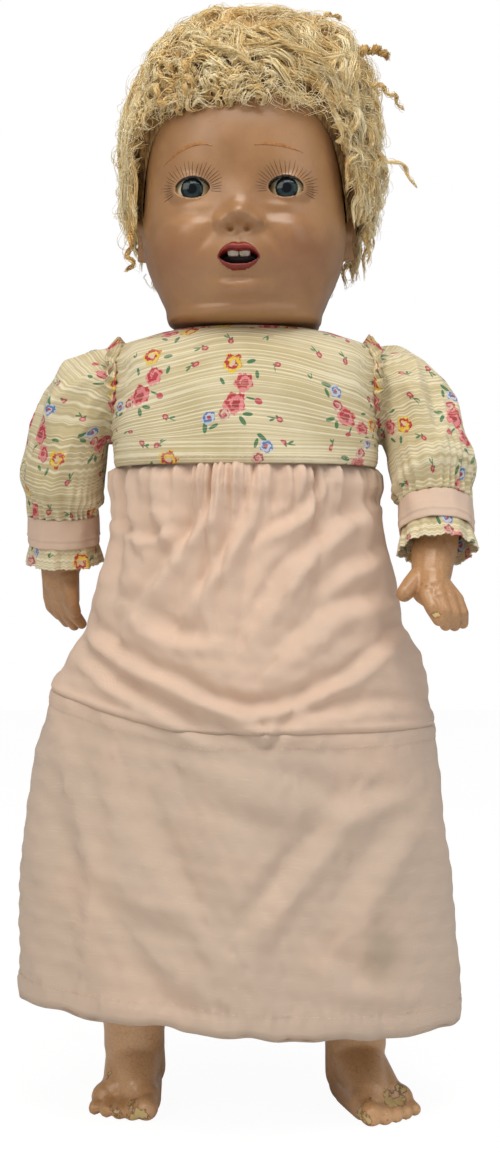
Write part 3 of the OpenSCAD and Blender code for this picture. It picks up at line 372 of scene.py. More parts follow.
def noise(tree, where, mm, detail=3.0, rough=0.55, seed=0.0):
    """Noise whose spots are about so many mm across."""
    return add(tree, "ShaderNodeTexNoise", {"Vector": where, "Scale": 600.0 / mm, "Detail": detail,
        "Roughness": rough, "W": seed}, noise_dimensions="4D").outputs["Fac"]


def relief(tree, height, strength, deep, below=None, **settings):
    """A bump so many metres deep, laid over another one if there is one below."""
    sockets = {"Height": height, "Strength": strength, "Distance": deep}
    if below is not None:
        sockets["Normal"] = below
    return add(tree, "ShaderNodeBump", sockets, **settings).outputs[0]


def coat(tree, shader, colour, rough, normal=None):
    """Gives a shader its colour, its roughness and its relief."""
    plug(tree, shader.inputs["Base Color"], colour)
    plug(tree, shader.inputs["Roughness"], rough)
    if normal is not None:
        plug(tree, shader.inputs["Normal"], normal)


def composition(name, skin):
    """Sprayed and varnished composition: tan, mottled in large clouds and small spots."""
    made, tree, shader, where = new_material(name)
    cloud = between(tree, noise(tree, where, 34, 2), 0.38, 0.66)
    fine = between(tree, noise(tree, where, 7, 4, seed=3), 0.35, 0.7)
    colour = mix(tree, cloud, tint(skin[0]), tint(skin[1]))
    colour = mix(tree, maths(tree, "MULTIPLY", fine, 0.35), colour, tint(skin[2]))
    return made, tree, shader, where, colour


skin, tree, shader, where, colour = composition("varnished_composition_head",
    ("#a87d55", "#986e48", "#b68960"))
flush = painted(tree, "blush")
flush = maths(tree, "MULTIPLY", flush, 0.4)
colour = mix(tree, flush, colour, tint("#94583c"))
cells = add(tree, "ShaderNodeTexVoronoi", {"Vector": where, "Scale": 210.0},
    feature="DISTANCE_TO_EDGE").outputs[0]
crack = between(tree, cells, 0.0, 0.035, 0.14, 0.0)
colour = mix(tree, crack, colour, tint("#7d573a"))
speck = between(tree, noise(tree, where, 2.2, 2, seed=8), 0.74, 0.8)
colour = mix(tree, maths(tree, "MULTIPLY", speck, 0.45), colour, tint("#6b442c"))
# Near black round the eyes: a painted lid line, with painted shade in the gap round the eyeball.
line = painted(tree, "lined")
colour = mix(tree, between(tree, line, 0.35, 0.8), colour, tint("#22150f"))
rub = noise(tree, where, 1.6, 3, seed=5)
lip = painted(tree, "lips")
lip = maths(tree, "ADD", lip, between(tree, rub, 0.3, 0.7, -0.30, 0.14))
red = mix(tree, between(tree, noise(tree, where, 4, 3, seed=9), 0.35, 0.65), tint("#6a1207"), tint("#8a1f10"))
colour = mix(tree, between(tree, lip, 0.42, 0.58), colour, red)
# The mouth's hollow is painted near black: painted shade inside the open mouth.
hole = painted(tree, "mouth_hollow_shade")
colour = mix(tree, between(tree, hole, 0.2, 0.75), colour, tint("#170706"))
shader.inputs["Specular IOR Level"].default_value = 0.6
coat(tree, shader, colour, between(tree, noise(tree, where, 12, 3, seed=2), 0.3, 0.7, 0.29, 0.42),
    relief(tree, noise(tree, where, 1.4, 3, seed=4), 0.09, 0.0006))
head.data.materials.append(skin)
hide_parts("head_shell")
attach(head, "head")

# ---- Eyes ----------------------------------------------------------------------------------
# Two celluloid balls on one rod: cream whites, a lid painted on the part that turns into view
# when the doll lies down, and a glossy iris with a dark pupil set on the front.
def eye_middle(s):
    """The middle of an eye in metres, where the head is turned to at rest."""
    c, d = math.cos(-turn), math.sin(-turn)
    x, y = s * EYE_X, EYE_Y
    return (x * c - y * d) / 1000, (x * d + y * c) / 1000, EYE_Z / 1000


def eye_place(tree, where, s):
    """The way a point of the eye lies from its middle: across, forward and up, in shares of its radius."""
    moved = add(tree, "ShaderNodeMapping", {"Vector": where, "Location": [-v for v in eye_middle(s)]},
        vector_type="POINT").outputs[0]
    spun = add(tree, "ShaderNodeMapping", {"Vector": moved, "Rotation": (0, 0, turn),
        "Scale": (1000 / EYE_R,) * 3}, vector_type="POINT").outputs[0]
    return add(tree, "ShaderNodeSeparateXYZ", {0: spun}).outputs


def made_of(node, material):
    """Gives a solid of the frame its material."""
    slots = frame["nodes"][node].data.materials
    slots.clear()
    slots.append(material)


for side, s in (("right", -1), ("left", 1)):
    white, tree, shader, where = new_material(f"celluloid_eyeball_{side}")
    across, ahead, up = eye_place(tree, where, s)
    angle = maths(tree, "ARCTAN2", up, maths(tree, "MULTIPLY", ahead, -1.0))
    colour = mix(tree, between(tree, noise(tree, where, 5, 2), 0.4, 0.7), tint("#cfc19c"), tint("#e4dcc2"))
    yellow = between(tree, maths(tree, "ABSOLUTE", across), 0.45, 0.9)
    colour = mix(tree, yellow, colour, tint("#b59d66"))
    lid = between(tree, angle, math.radians(36), math.radians(37.5))
    crease = between(tree, angle, math.radians(34), math.radians(36))
    colour = mix(tree, crease, colour, tint("#2a1a12"))
    colour = mix(tree, lid, colour, tint("#b98a62"))
    coat(tree, shader, colour, 0.16)
    made_of(f"eyeball_{side}", white)

    glass, tree, shader, where = new_material(f"glossy_iris_{side}")
    across, _, up = eye_place(tree, where, s)
    reach = maths(tree, "MULTIPLY", add(tree, "ShaderNodeVectorMath", {0: add(tree, "ShaderNodeCombineXYZ",
                {0: across, 2: up}).outputs[0]}, operation="LENGTH").outputs["Value"], EYE_R)
    spoke = maths(tree, "ARCTAN2", up, across)
    spokes = add(tree, "ShaderNodeTexNoise", {"Vector": add(tree, "ShaderNodeCombineXYZ",
        {0: maths(tree, "MULTIPLY", spoke, 5.0), 1: reach}).outputs[0], "Scale": 1.6,
        "Detail": 3.0}).outputs["Fac"]
    colour = mix(tree, between(tree, spokes, 0.35, 0.65), tint("#172326"), tint("#324647"))
    colour = mix(tree, between(tree, reach, 2.6, 4.6), tint("#22333a"), colour)
    colour = mix(tree, between(tree, reach, 4.2, 5.8), colour, tint("#0e171c"))
    colour = mix(tree, between(tree, reach, 2.7, 3.1, 1, 0), colour, tint("#080b12"))
    coat(tree, shader, colour, 0.07)
    shader.inputs["Specular IOR Level"].default_value = 0.35
    made_of(f"iris_{side}", glass)

# ---- Teeth, mouth felt, brows and lashes ---------------------------------------------------
# Two celluloid teeth show under the upper lip, in front of a pocket of dark felt. Brows and
# lashes are fine strokes of a pointed brush on the finished paint.
teeth_points, teeth_faces = [], []
for s in (-1, 1):
    base = len(teeth_points)
    n = 12
    for j, (depth, grow) in enumerate([(-63.4, 0.72), (-63.9, 0.92), (-63.2, 1.0), (-61.5, 1.0),
            (-50.0, 0.96)]):
        for i in range(n):
            b = 2 * math.pi * (i + 0.5) / n
            px = math.copysign(abs(math.cos(b)) ** 0.45, math.cos(b)) * 3.1 * grow
            pz = math.copysign(abs(math.sin(b)) ** 0.55, math.sin(b)) * 2.1 * grow
            teeth_points.append((s * 3.3 + px, depth, MOUTH_Z + 2.1 + pz))
    teeth_faces += [tuple(base + k for k in f) for f in net(5, n)]
    teeth_faces.append(tuple(base + k for k in range(n))[::-1])
    teeth_faces.append(tuple(base + 4 * n + k for k in range(n)))
teeth = put("celluloid_teeth", teeth_points, teeth_faces, turned=turn)


def outward(mesh):
    """Merges doubles and turns every face outwards."""
    work = bmesh.new()
    work.from_mesh(mesh)
    bmesh.ops.remove_doubles(work, verts=work.verts, dist=1e-6)
    bmesh.ops.recalc_face_normals(work, faces=work.faces)
    work.to_mesh(mesh)
    work.free()
    mesh.shade_smooth()


outward(teeth.data)
enamel, tree, shader, where = new_material("celluloid_tooth")
colour = mix(tree, between(tree, noise(tree, where, 3, 2), 0.35, 0.65), tint("#d8cdb8"), tint("#ece5d6"))
coat(tree, shader, colour, 0.3)
teeth.data.materials.append(enamel)
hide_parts("teeth")
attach(teeth, "head")

felt_points, felt_faces = [], []
for depth, r in [(-54.4, 11.9), (-50, 12.0), (-46, 11.6), (-44.6, 10), (-44.3, 5), (-45.2, 5), (-45.6, 9.2),
        (-47, 10.6), (-54.4, 10.8)]:
    for i in range(28):
        b = 2 * math.pi * i / 28
        felt_points.append((r * math.cos(b), depth, MOUTH_Z + r * math.sin(b)))
felt_faces = net(9, 28)
felt_faces += [(8 * 28 + i, 8 * 28 + (i + 1) % 28, (i + 1) % 28, i) for i in range(28)]
mouth_felt = put("mouth_felt", felt_points, felt_faces, turned=turn)
outward(mouth_felt.data)


def felt(name, low, high, mm):
    """Pressed wool felt: matt, with short fibres that catch the light at the edges."""
    made, tree, shader, where = new_material(name)
    fibres = noise(tree, where, mm, 5, 0.7)
    colour = mix(tree, between(tree, fibres, 0.3, 0.7), tint(low), tint(high))
    coat(tree, shader, colour, 0.95, relief(tree, fibres, 0.5, 0.0004))
    shader.inputs["Sheen Weight"].default_value = 0.3
    return made


mouth_felt.data.materials.append(felt("dark_red_felt", "#2b0f0d", "#451a16", 1.0))
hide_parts("mouth_lining")
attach(mouth_felt, "head")

head_tree = BVHTree.FromPolygons([v.co.copy() for v in head.data.vertices],
    [tuple(p.vertices) for p in head.data.polygons])


def on_face(x, z):
    """The point of the face at x and z, in mm in the head's own place, and the way the face points there."""
    c, s = math.cos(-turn), math.sin(-turn)
    start = Vector(((x * c + 120 * s) / 1000, (x * s - 120 * c) / 1000, z / 1000))
    return head_tree.ray_cast(start, Vector((-s, c, 0)), 0.3)[:2]


def stroke(points, width, lift=0.00012):
    """A brush stroke along points of the face that swells in its middle and ends in fine tips."""
    verts, faces = [], []
    spots = [on_face(x, z) for x, z in points]
    spots = [q for q in spots if q[0] is not None]
    n = len(spots)
    for k, (p, normal) in enumerate(spots):
        along = (spots[min(k + 1, n - 1)][0] - spots[max(k - 1, 0)][0]).normalized()
        across = normal.cross(along).normalized()
        share = k / (n - 1)
        half = width / 2000 * max(0.12, math.sin(math.pi * min(1, 0.18 + share * 0.82)))
        top = p + normal * lift
        verts += [tuple(top + across * half), tuple(top + normal * lift * 0.7), tuple(top - across * half),
            tuple(p - normal * lift * 2)]
    for k in range(n - 1):
        for a, b in ((0, 1), (1, 2), (2, 3), (3, 0)):
            faces.append((k * 4 + a, k * 4 + b, k * 4 + 4 + b, k * 4 + 4 + a))
    faces += [(0, 1, 2, 3), tuple((n - 1) * 4 + q for q in (3, 2, 1, 0))]
    return verts, faces


def strokes(name, lines):
    """One piece of many brush strokes."""
    verts, faces = [], []
    for points, width in lines:
        v, f = stroke(points, width)
        faces += [tuple(len(verts) + k for k in g) for g in f]
        verts += v
    made = put(name, np.array(verts) * 1000, faces)
    outward(made.data)
    return made


lash_lines, brow_lines = [], []
rng = np.random.default_rng(31)
for s in (-1, 1):
    for k in range(27):
        q = k / 26
        b = math.radians(-24 + 218 * q)
        x0, z0 = 11.4 * math.cos(b), 7.1 * math.sin(b) - 0.2
        long = (6.2 + 2.6 * math.sin(math.pi * q)) * rng.uniform(0.82, 1.12)
        fan = b + rng.uniform(-0.05, 0.05) + 0.1 * math.cos(b)
        bow = rng.uniform(-0.5, 0.9)
        pts = []
        for j in range(7):
            h = j / 6 * long
            pts.append((s * (EYE_X + x0 + h * math.cos(fan) + bow * math.sin(math.pi * j / 6) * 0.5),
                EYE_Z + z0 + h * math.sin(fan)))
        lash_lines.append((pts, 0.36))
for s, begin, wide, drop, peak in ((-1, 15.0, 29.0, 8.0, 2.4), (1, 9.0, 27.5, 2.8, 1.2)):
    for k in range(3):
        pts = []
        for j in range(17):
            q = j / 16
            z = 559.6 + peak * math.sin(math.pi * q ** 0.8) - drop * q ** 2.2 + (k
                - 1) * 0.55 * math.sin(math.pi * q)
            pts.append((s * (begin + q * wide), z))
        brow_lines.append((pts[k:len(pts) - (2 - k)], 0.95))


def brushed(name, low, high):
    """Thin oil paint laid by a brush: streaky and a little glossy."""
    made, tree, shader, where = new_material(name)
    colour = mix(tree, between(tree, noise(tree, where, 2.0, 4), 0.35, 0.65), tint(low), tint(high))
    coat(tree, shader, colour, 0.45)
    return made


lashes = strokes("painted_lashes", lash_lines)
lashes.data.materials.append(brushed("lash_paint", "#4a3226", "#6b4c38"))
brows = strokes("painted_brows", brow_lines)
brows.data.materials.append(brushed("brow_paint", "#9c6636", "#b98245"))
for piece in (lashes, brows):
    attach(piece, "head")

# ---- Wig ---------------------------------------------------------------------------------------
# Curled mohair sewn to a dark cotton cap and glued over the card crown: tight matted ringlets over
# the left of the brow, loose tufts swept to the right on top, straight locks at one side.
def hair_reach(d):
    """How far the dressed hair reaches from its middle in a direction."""
    x, y, z = d[..., 0], d[..., 1], d[..., 2]
    ring = (np.abs(x) / 82.0) ** 2.3 + (np.abs(y) / np.where(y < 0, 69.0, 87.0)) ** 2.3
    return (ring ** (2.5 / 2.3) + (np.abs(z) / np.where(z > 0, 84.0, 150.0)) ** 2.5) ** (-1 / 2.5)


HAIR_MIDDLE = np.array([0, 0, 574.5])


def hairline(a):
    """Height of the wig's edge at an angle from the face."""
    deg = np.degrees(np.abs((a + math.pi) % (2 * math.pi) - math.pi))
    return np.interp(deg, [0, 18, 32, 44, 54, 62, 70, 78, 86, 110, 180],
        [588, 588, 585, 580, 571, 558, 544, 535, 531, 512, 503])


def hair_floor(a, z):
    """Distance from the neck's axis to the hair's under-mass."""
    a, z = np.broadcast_arrays(a, z)
    h = np.clip((z - 574.5) / np.where(z > 574.5, 84.0, -150.0), 0, 0.9999)
    ring = (np.abs(np.sin(a)) / 82.0) ** 2.3 + (np.abs(np.cos(a)) / np.where(np.cos(a) > 0, 69.0,
        87.0)) ** 2.3
    return ring ** (-1 / 2.3) * (1 - h ** 2.5) ** (1 / 2.5)


def skull_reach(a, z):
    """Distance from the axis to the head, and to the card crown above it."""
    return np.where(z < 608, plain_head(a, np.minimum(z, 608)) + 0.7,
        48 * np.sqrt(np.clip((641 - z) / 34, 0, 1)))


def slimmed(p):
    """The hair lies flatter on the doll's right, least of all below the skull it covers."""
    share = np.interp(p[..., 2], [530, 565, 585, 611, 623, 636, 650],
        [0.93, 0.94, 0.9, 0.87, 0.83, 0.76, 0.7])
    q = p.copy()
    q[..., 2] -= 0.0016 * p[..., 1] ** 2 * ramp(p[..., 2], 595, 650)
    q[..., 0] = np.where(p[..., 0] < 0, p[..., 0] * share, p[..., 0])
    a, r = np.arctan2(q[..., 0], -q[..., 1]), np.hypot(q[..., 0], q[..., 1])
    least = np.minimum(np.hypot(p[..., 0], p[..., 1]), skull_reach(a, q[..., 2]) + 1.5)
    q[..., :2] *= np.maximum(1, least / np.maximum(r, 1))[..., None]
    return q


a_grid = np.arange(180) / 180 * 2 * np.pi
outer_rows, inner_rows = [], []
for j in range(46):
    q = j / 45
    lift = math.sin(q * math.pi / 2)
    z = hairline(a_grid) + (652 - hairline(a_grid)) * lift
    lump = 1.3 * np.sin(9 * a_grid + z * 0.23) + 1.1 * np.sin(17 * a_grid - z * 0.31) + 0.8 * np.sin(31
        * a_grid + z * 0.5)
    skull = np.where(z < 611, plain_head(a_grid, np.minimum(z, 611)) + 1.2, 0)
    r = np.maximum(hair_floor(a_grid, z) * (0.955 - 0.04 * q) - 5.5 + lump, skull + 1.0)
    r = skull * (1 - ramp(q, 0, 0.1)) + r * ramp(q, 0, 0.1) if j < 6 else r
    outer_rows.append(np.stack([r * np.sin(a_grid), -r * np.cos(a_grid), z], -1))
for j in range(12):
    q = j / 11
    z = hairline(a_grid) + (640 - hairline(a_grid)) * (1 - q)
    r = skull_reach(a_grid, z)
    inner_rows.append(np.stack([r * np.sin(a_grid), -r * np.cos(a_grid), z], -1))
mass = np.concatenate([slimmed(np.array(outer_rows)), inner_rows[:-1]])
mass_faces = net(len(mass), 180)
last = (len(mass) - 1) * 180
mass_faces += [(last + i, last + (i + 1) % 180, (i + 1) % 180, i) for i in range(180)]
under_hair = put("wig_under_mass", mass.reshape(-1, 3), mass_faces, turned=turn)
outward(under_hair.data)


def mohair(name, tones, rough):
    """Mohair: long smooth fibres, pale where their tone is high and brown where it is low; the tone carries
    painted highlight and painted shade.
    """
    made, tree, shader, where = new_material(name)
    tone = painted(tree, "tone")
    combed = add(tree, "ShaderNodeMapping", {"Vector": where, "Scale": (1, 1, 0.14)}).outputs[0]
    fibres = noise(tree, combed, 1.1, 3, seed=3)
    cloud = maths(tree, "ADD", between(tree, noise(tree, where, 9, 3), 0.3, 0.7, -0.12, 0.12),
        between(tree, fibres, 0.35, 0.65, -0.16, 0.16))
    tone = maths(tree, "ADD", tone, cloud)
    colour = mix(tree, between(tree, tone, 0.0, 0.3), tint(tones[0]), tint(tones[1]))
    colour = mix(tree, between(tree, tone, 0.3, 0.65), colour, tint(tones[2]))
    colour = mix(tree, between(tree, tone, 0.65, 1.0), colour, tint(tones[3]))
    coat(tree, shader, colour, rough, relief(tree, fibres, 0.7, 0.0012))
    return made


# The under-mass is painted darker than the locks and darker low down, as painted shade, and paler towards the
# top, as painted light from above.
under_hair.data.materials.append(mohair("matted_mohair_painted_shade", ("#6e5030", "#a98450", "#d2b27a", "#e8cf9a"), 0.8))
high = np.array([v.co.z for v in under_hair.data.vertices]) * 1000
mark(under_hair, "tone", 0.15 + 0.35 * ramp(high, 590, 640))
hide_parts("wig")
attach(under_hair, "head")


def group_with(name, result, **inputs):
    """A new node group that makes geometry, with its inputs in order."""
    tree = bpy.data.node_groups.new(name, "GeometryNodeTree")
    for label, kind in inputs.items():
        tree.interface.new_socket(name=label, in_out="INPUT", socket_type="NodeSocket" + kind)
    tree.interface.new_socket(name=result, in_out="OUTPUT", socket_type="NodeSocketGeometry")
    return tree, add(tree, "NodeGroupInput").outputs


def closed_group(tree, made, material):
    """Makes real what a group placed, gives it its material and hands it out."""
    real = add(tree, "GeometryNodeRealizeInstances", {0: made}).outputs[0]
    done = add(tree, "GeometryNodeSetMaterial", {"Geometry": real, "Material": material}).outputs[0]
    add(tree, "NodeGroupOutput", {0: done})
    return tree


def strand_tree():
    """Geometry Nodes: thin closed strands along the edges of a mesh, each point as thick as it says."""
    tree, start = group_with("strands_along_paths", "Strands", Paths="Geometry", Fibre="Material")
    curves = add(tree, "GeometryNodeMeshToCurve", {0: start[0]}).outputs[0]
    thick = add(tree, "GeometryNodeInputNamedAttribute", {"Name": "thick"}, data_type="FLOAT").outputs[0]
    curves = add(tree, "GeometryNodeSetCurveRadius", {"Curve": curves, "Radius": thick}).outputs[0]
    ring = add(tree, "GeometryNodeCurvePrimitiveCircle", {"Resolution": 3, "Radius": 1.0}).outputs[0]
    made = add(tree, "GeometryNodeCurveToMesh", {"Curve": curves, "Profile Curve": ring, "Fill Caps": True})
    if "Scale" in made.inputs:
        tree.links.new(thick, made.inputs["Scale"])
    return closed_group(tree, made.outputs[0], start[1])


strands_along_paths = strand_tree()


def along_paths(name, holder, group, values):
    """A plain mesh of what a node group makes along the edges of a holder, which then goes."""
    step = holder.modifiers.new("along_paths", "NODES")
    step.node_group = group
    for item in group.interface.items_tree:
        if item.name in values:
            step[item.identifier] = values[item.name]
    result = bpy.data.meshes.new_from_object(holder.evaluated_get(bpy.context.evaluated_depsgraph_get()))
    result.name = name
    result.shade_smooth()
    made = bpy.data.objects.new(name, result)
    scene.collection.objects.link(made)
    bpy.data.objects.remove(holder)
    return made


def grown(name, paths, thick, tone, material):
    """A piece of strands from paths (strand, point, xyz) in mm in the head's own place."""
    count, steps = paths.shape[:2]
    lines = [(s * steps + k, s * steps + k + 1) for s in range(count) for k in range(steps - 1)]
    holder = put(name + "_paths", paths.reshape(-1, 3), [], smooth=False, turned=turn, edges=lines)
    mark(holder, "thick", thick / 1000)
    mark(holder, "tone", tone)
    return along_paths(name, holder, strands_along_paths, {"Fibre": material})


def unit(v):
    """Directions of length one."""
    return v / np.maximum(np.linalg.norm(v, axis=-1, keepdims=True), 1e-9)


def locks_of_hair(rng, starts, flows, long, per_lock, curl, turns, rise, spread, steps, gravity, base_tone,
        tip=0.35):
    """Strands in locks: each lock leaves the mass, follows its flow over it and curls round its own line."""
    n = len(starts)
    d = unit(np.asarray(starts, float))
    flow = np.asarray(flows, float)
    line, side_way, up_way = [], [], []
    long = long * rng.uniform(0.8, 1.2, n)
    heading = unit(flow - (flow * d).sum(-1, keepdims=True) * d)
    for k in range(steps):
        t = k / (steps - 1)
        h = rise * math.sin(math.pi * min(1, t * 0.75 + 0.08)) - 3.5 * (1 - t) * (k == 0)
        around = np.arctan2(d[:, 0], -d[:, 1])
        tuft = np.sin(5 * around + 4 * d[:, 2]) * np.sin(6 * d[:,
            2] - 2 * around) + 0.7 * np.sin(11 * around - 5 * d[:, 2])
        line.append(HAIR_MIDDLE + d * (hair_reach(d) * 0.935 + h + 2.8 * tuft * min(1, 0.4 + t))[:, None])
        up_way.append(d)
        side_way.append(unit(np.cross(heading, d)))
        heading = unit(heading + gravity * np.array([0, 0, -1.0]) / steps + rng.normal(0, 0.16, (n, 3)))
        heading = unit(heading - (heading * d).sum(-1, keepdims=True) * d)
        d = unit(d + heading * (long / (steps - 1) / hair_reach(d))[:, None])
    line, up_way, side_way = (np.stack(q, 1) for q in (line, up_way, side_way))
    t = np.linspace(0, 1, steps)[None, None, :]
    phase = rng.uniform(0, 2 * np.pi, (n, 1, 1)) + rng.normal(0, 0.35, (n, per_lock, 1))
    wind = phase + 2 * np.pi * turns * rng.uniform(0.8, 1.2, (n, 1, 1)) * rng.choice([-1, 1], (n, 1, 1)) * t
    size = curl * rng.uniform(0.7, 1.25, (n, 1, 1)) * np.clip(t * 3.5, 0, 1) * (1 - 0.25 * t)
    e = rng.normal(0, 0.55, (n, per_lock, 1)) * spread * (1 - (1 - tip) * t)
    g = rng.normal(0, 0.4, (n, per_lock, 1)) * spread * (1 - (1 - tip) * t)
    wisp = rng.normal(0, 0.5, (n, per_lock, 1)) * spread * 0.5 * t ** 3
    across = size * np.cos(wind) + e + wisp
    above = size * np.sin(wind) + g + np.abs(wisp) * 0.4
    p = line[:, None] + side_way[:, None] * across[..., None] + up_way[:, None] * above[..., None]
    cut = 1 - rng.uniform(0, 0.22, (n, per_lock, 1))
    p = p[:, :, :1] + (p - p[:, :, :1]) * (cut + (1 - cut) * (1 - t))[..., None]
    thick = 0.3 * rng.uniform(0.7, 1.2, (n, per_lock, 1)) * (1 - 0.72 * t ** 3)
    # Strands on the outer side of each lock get a higher tone as painted highlight, those on the inner side a
    # lower one as painted shade.
    crest_highlight = np.clip(above / (spread + curl + 0.01), -1, 1) * 0.22
    tone = base_tone + rng.normal(0, 0.10, (n, 1, 1)) + rng.normal(0, 0.07,
        (n, per_lock, 1)) + crest_highlight + 0.2 * np.sqrt(t) - 0.04
    p, thick, tone = (q.reshape((n * per_lock,) + q.shape[2:]) for q in (p,
        np.broadcast_to(thick, above.shape), np.broadcast_to(tone, above.shape)))
    return p, thick, np.clip(tone, 0, 1)


def directions(rng, count, low, high, a_low, a_high, jitter=0.05):
    """Evenly spread directions, between two angles from the face (in degrees) and two heights in mm."""
    k = np.arange(count) + 0.5
    a = np.radians(a_low + (a_high - a_low) * ((k * 0.6180339) % 1.0))
    z = low + (high - low) * k / count
    z = np.maximum(z, hairline(a) + 2)
    r = np.maximum(hair_floor(a, z), 1.0)
    d = np.stack([r * np.sin(a), -r * np.cos(a), z - 574.5], -1)
    return unit(unit(d) + rng.normal(0, jitter, d.shape))


rng = np.random.default_rng(417)
pale_mohair = mohair("curled_mohair", ("#a87432", "#e6bd76", "#f9e0a6", "#fff3cf"), 0.5)
batches = {}


def batch(name, *parts):
    """Keeps some kinds of strands, to be made one piece of the wig."""
    batches[name] = [np.concatenate(q) for q in zip(*parts)]


def flows(rng, count, *ways):
    """Which way each lock is combed, in x, y and z: a value, or the middle and spread of one."""
    return np.stack([rng.normal(*w, count) if isinstance(w, tuple) else np.full(count, w) for w in ways], -1)


# Piece, then for each kind of lock: number, low and high edge, angles from the face; its flow; and
# length, strands, curl, turns, rise, spread, steps, gravity and tone as locks_of_hair takes them
LOCKS = {
    "wig_front_ringlets": [
      ((62, 586, 640, -62, 6), ((0, 0.7), -0.4, (-0.5, 0.5)), (22, 21, 2.9, 2.1, 3.5, 2.3, 12, 0.6, 0.5)),
      ((30, 588, 606, -55, 15), ((0.2, 0.6), -0.3, -0.8), (14, 20, 2.4, 1.8, 3.0, 2.1, 12, 0.4, 0.46))],
    "wig_crown_tufts": [
      ((70, 622, 652, -180, 180), ((0.8, 0.4), (-0.3, 0.4), (0.1, 0.3)),
       (34, 24, 2.4, 0.8, 4.0, 5.2, 9, -0.1, 0.62)),
      ((26, 600, 640, -30, 60), (1.0, -0.35, (-0.25, 0.25)), (46, 24, 2.6, 1.1, 3.6, 4.2, 9, 0.7, 0.58))],
    "wig_side_locks_right": [
      ((76, 560, 636, -150, -62), (-0.15, (0, 0.18), -1.0), (44, 21, 1.2, 0.6, 3.2, 4.6, 8, 1.2, 0.58)),
      ((40, 552, 580, -92, -60), (0.0, (0, 0.12), -1.0), (36, 21, 1.0, 0.6, -1.5, 3.0, 8, 1.2, 0.5))],
    "wig_side_curls_left": [
      ((84, 552, 636, 50, 150), ((0.3, 0.4), (0.1, 0.5), (-0.7, 0.5)),
       (32, 20, 3.0, 1.4, 3.8, 3.6, 10, 0.9, 0.55)),
      ((44, 536, 580, 56, 92), ((0, 0.2), (-0.1, 0.2), -1.0), (28, 20, 2.4, 1.6, -1.0, 3.0, 10, 1.0, 0.52))],
    "wig_back_waves": [
      ((92, 545, 640, 140, 222), ((0, 0.4), 0.2, -1.0), (42, 21, 2.4, 1.2, 3.6, 4.4, 9, 1.0, 0.55))]}
for name, kinds in LOCKS.items():
    locks = []
    for spot, ways, form in kinds:
        d = directions(rng, *spot)
        locks.append(locks_of_hair(rng, d, flows(rng, len(d), *ways), *form))
    batch(name, *locks)
low = []
for at, top, long, wide in ((-100, 536, 22, 1.9), (-112, 526, 26, 2.2), (80, 540, 22, 2.6),
        (90, 536, 26, 2.8), (100, 532, 30, 2.8), (112, 526, 32, 2.6), (126, 522, 32, 2.4),
        (-128, 520, 30, 2.2), (142, 516, 28, 2.2), (158, 514, 28, 2.2), (174, 512, 28, 2.2),
        (-170, 512, 28, 2.2), (-156, 514, 28, 2.2), (-142, 516, 28, 2.2)):
    d = directions(rng, 4, top, top + 14, at - 5, at + 5, 0.02)
    low.append(locks_of_hair(rng, d, np.tile([0.0, 0.05, -1.0], (4, 1)), long, 20, wide, 1.8, 1.2, 2.6, 10,
        1.0, 0.62))
batch("wig_low_locks", *low)
d = unit(rng.normal(0, 1, (230, 3)) * [1, 0.7, 0.6] + [0, 0.15, 0.55])
stray = locks_of_hair(rng, d, rng.normal(0, 1, (230, 3)) + [0.3, 0, -0.2], 34, 2, 3.2, 0.7, 8.5, 1.6, 12,
    0.3, 0.7, tip=1.5)
batch("wig_stray_fibres", (stray[0], stray[1] * 0.5, stray[2]))
for part, count, a_low, a_high in (("front", 420, -75, 60), ("left", 600, 60, 180), ("right", 560, 180, 285)):
    d = directions(rng, count, 530, 650, a_low, a_high, 0.04)
    fuzz = locks_of_hair(rng, d, rng.normal(0, 0.8, (count, 3)) + [0.25, 0, -0.5], 20, 3, 2.2, 1.2, 3.6,
        5.0, 8, 0.5, 0.72, tip=1.0)
    batch(f"wig_fuzz_{part}", (fuzz[0], fuzz[1] * 0.62, fuzz[2]))


def twist(rng, way, strands, size, turns, thick, tone):
    """One springy roll of hair round a line through a few points in mm."""
    way = np.array(way, float)
    t = np.linspace(0, 1, 18)
    line = np.stack([np.interp(t, np.linspace(0, 1, len(way)), way[:, k]) for k in range(3)], -1)
    for _ in range(3):
        line[1:-1] = 0.25 * line[:-2] + 0.5 * line[1:-1] + 0.25 * line[2:]
    ahead = unit(np.gradient(line, axis=0))
    side_way = unit(np.cross(ahead, [0.2, 0.9, 0.4]))
    up_way = np.cross(side_way, ahead)
    phase = rng.normal(0, 0.5, (strands, 1)) + 2 * np.pi * turns * t
    r = size * (1 - 0.35 * t) * rng.uniform(0.65, 1.1, (strands, 1)) * np.clip(t * 5, 0.2, 1)
    p = line + side_way * (r * np.cos(phase))[..., None] + up_way * (r * np.sin(phase))[..., None]
    p += rng.normal(0, 0.35, (strands, 1, 3)) + ahead * rng.normal(0, 0.8, (strands, 1, 1))
    return p, np.full(p.shape[:2], thick) * (1 - 0.6 * t ** 3), np.clip(tone + rng.normal(0, 0.09,
        (strands, 1)) + 0 * t, 0, 1)


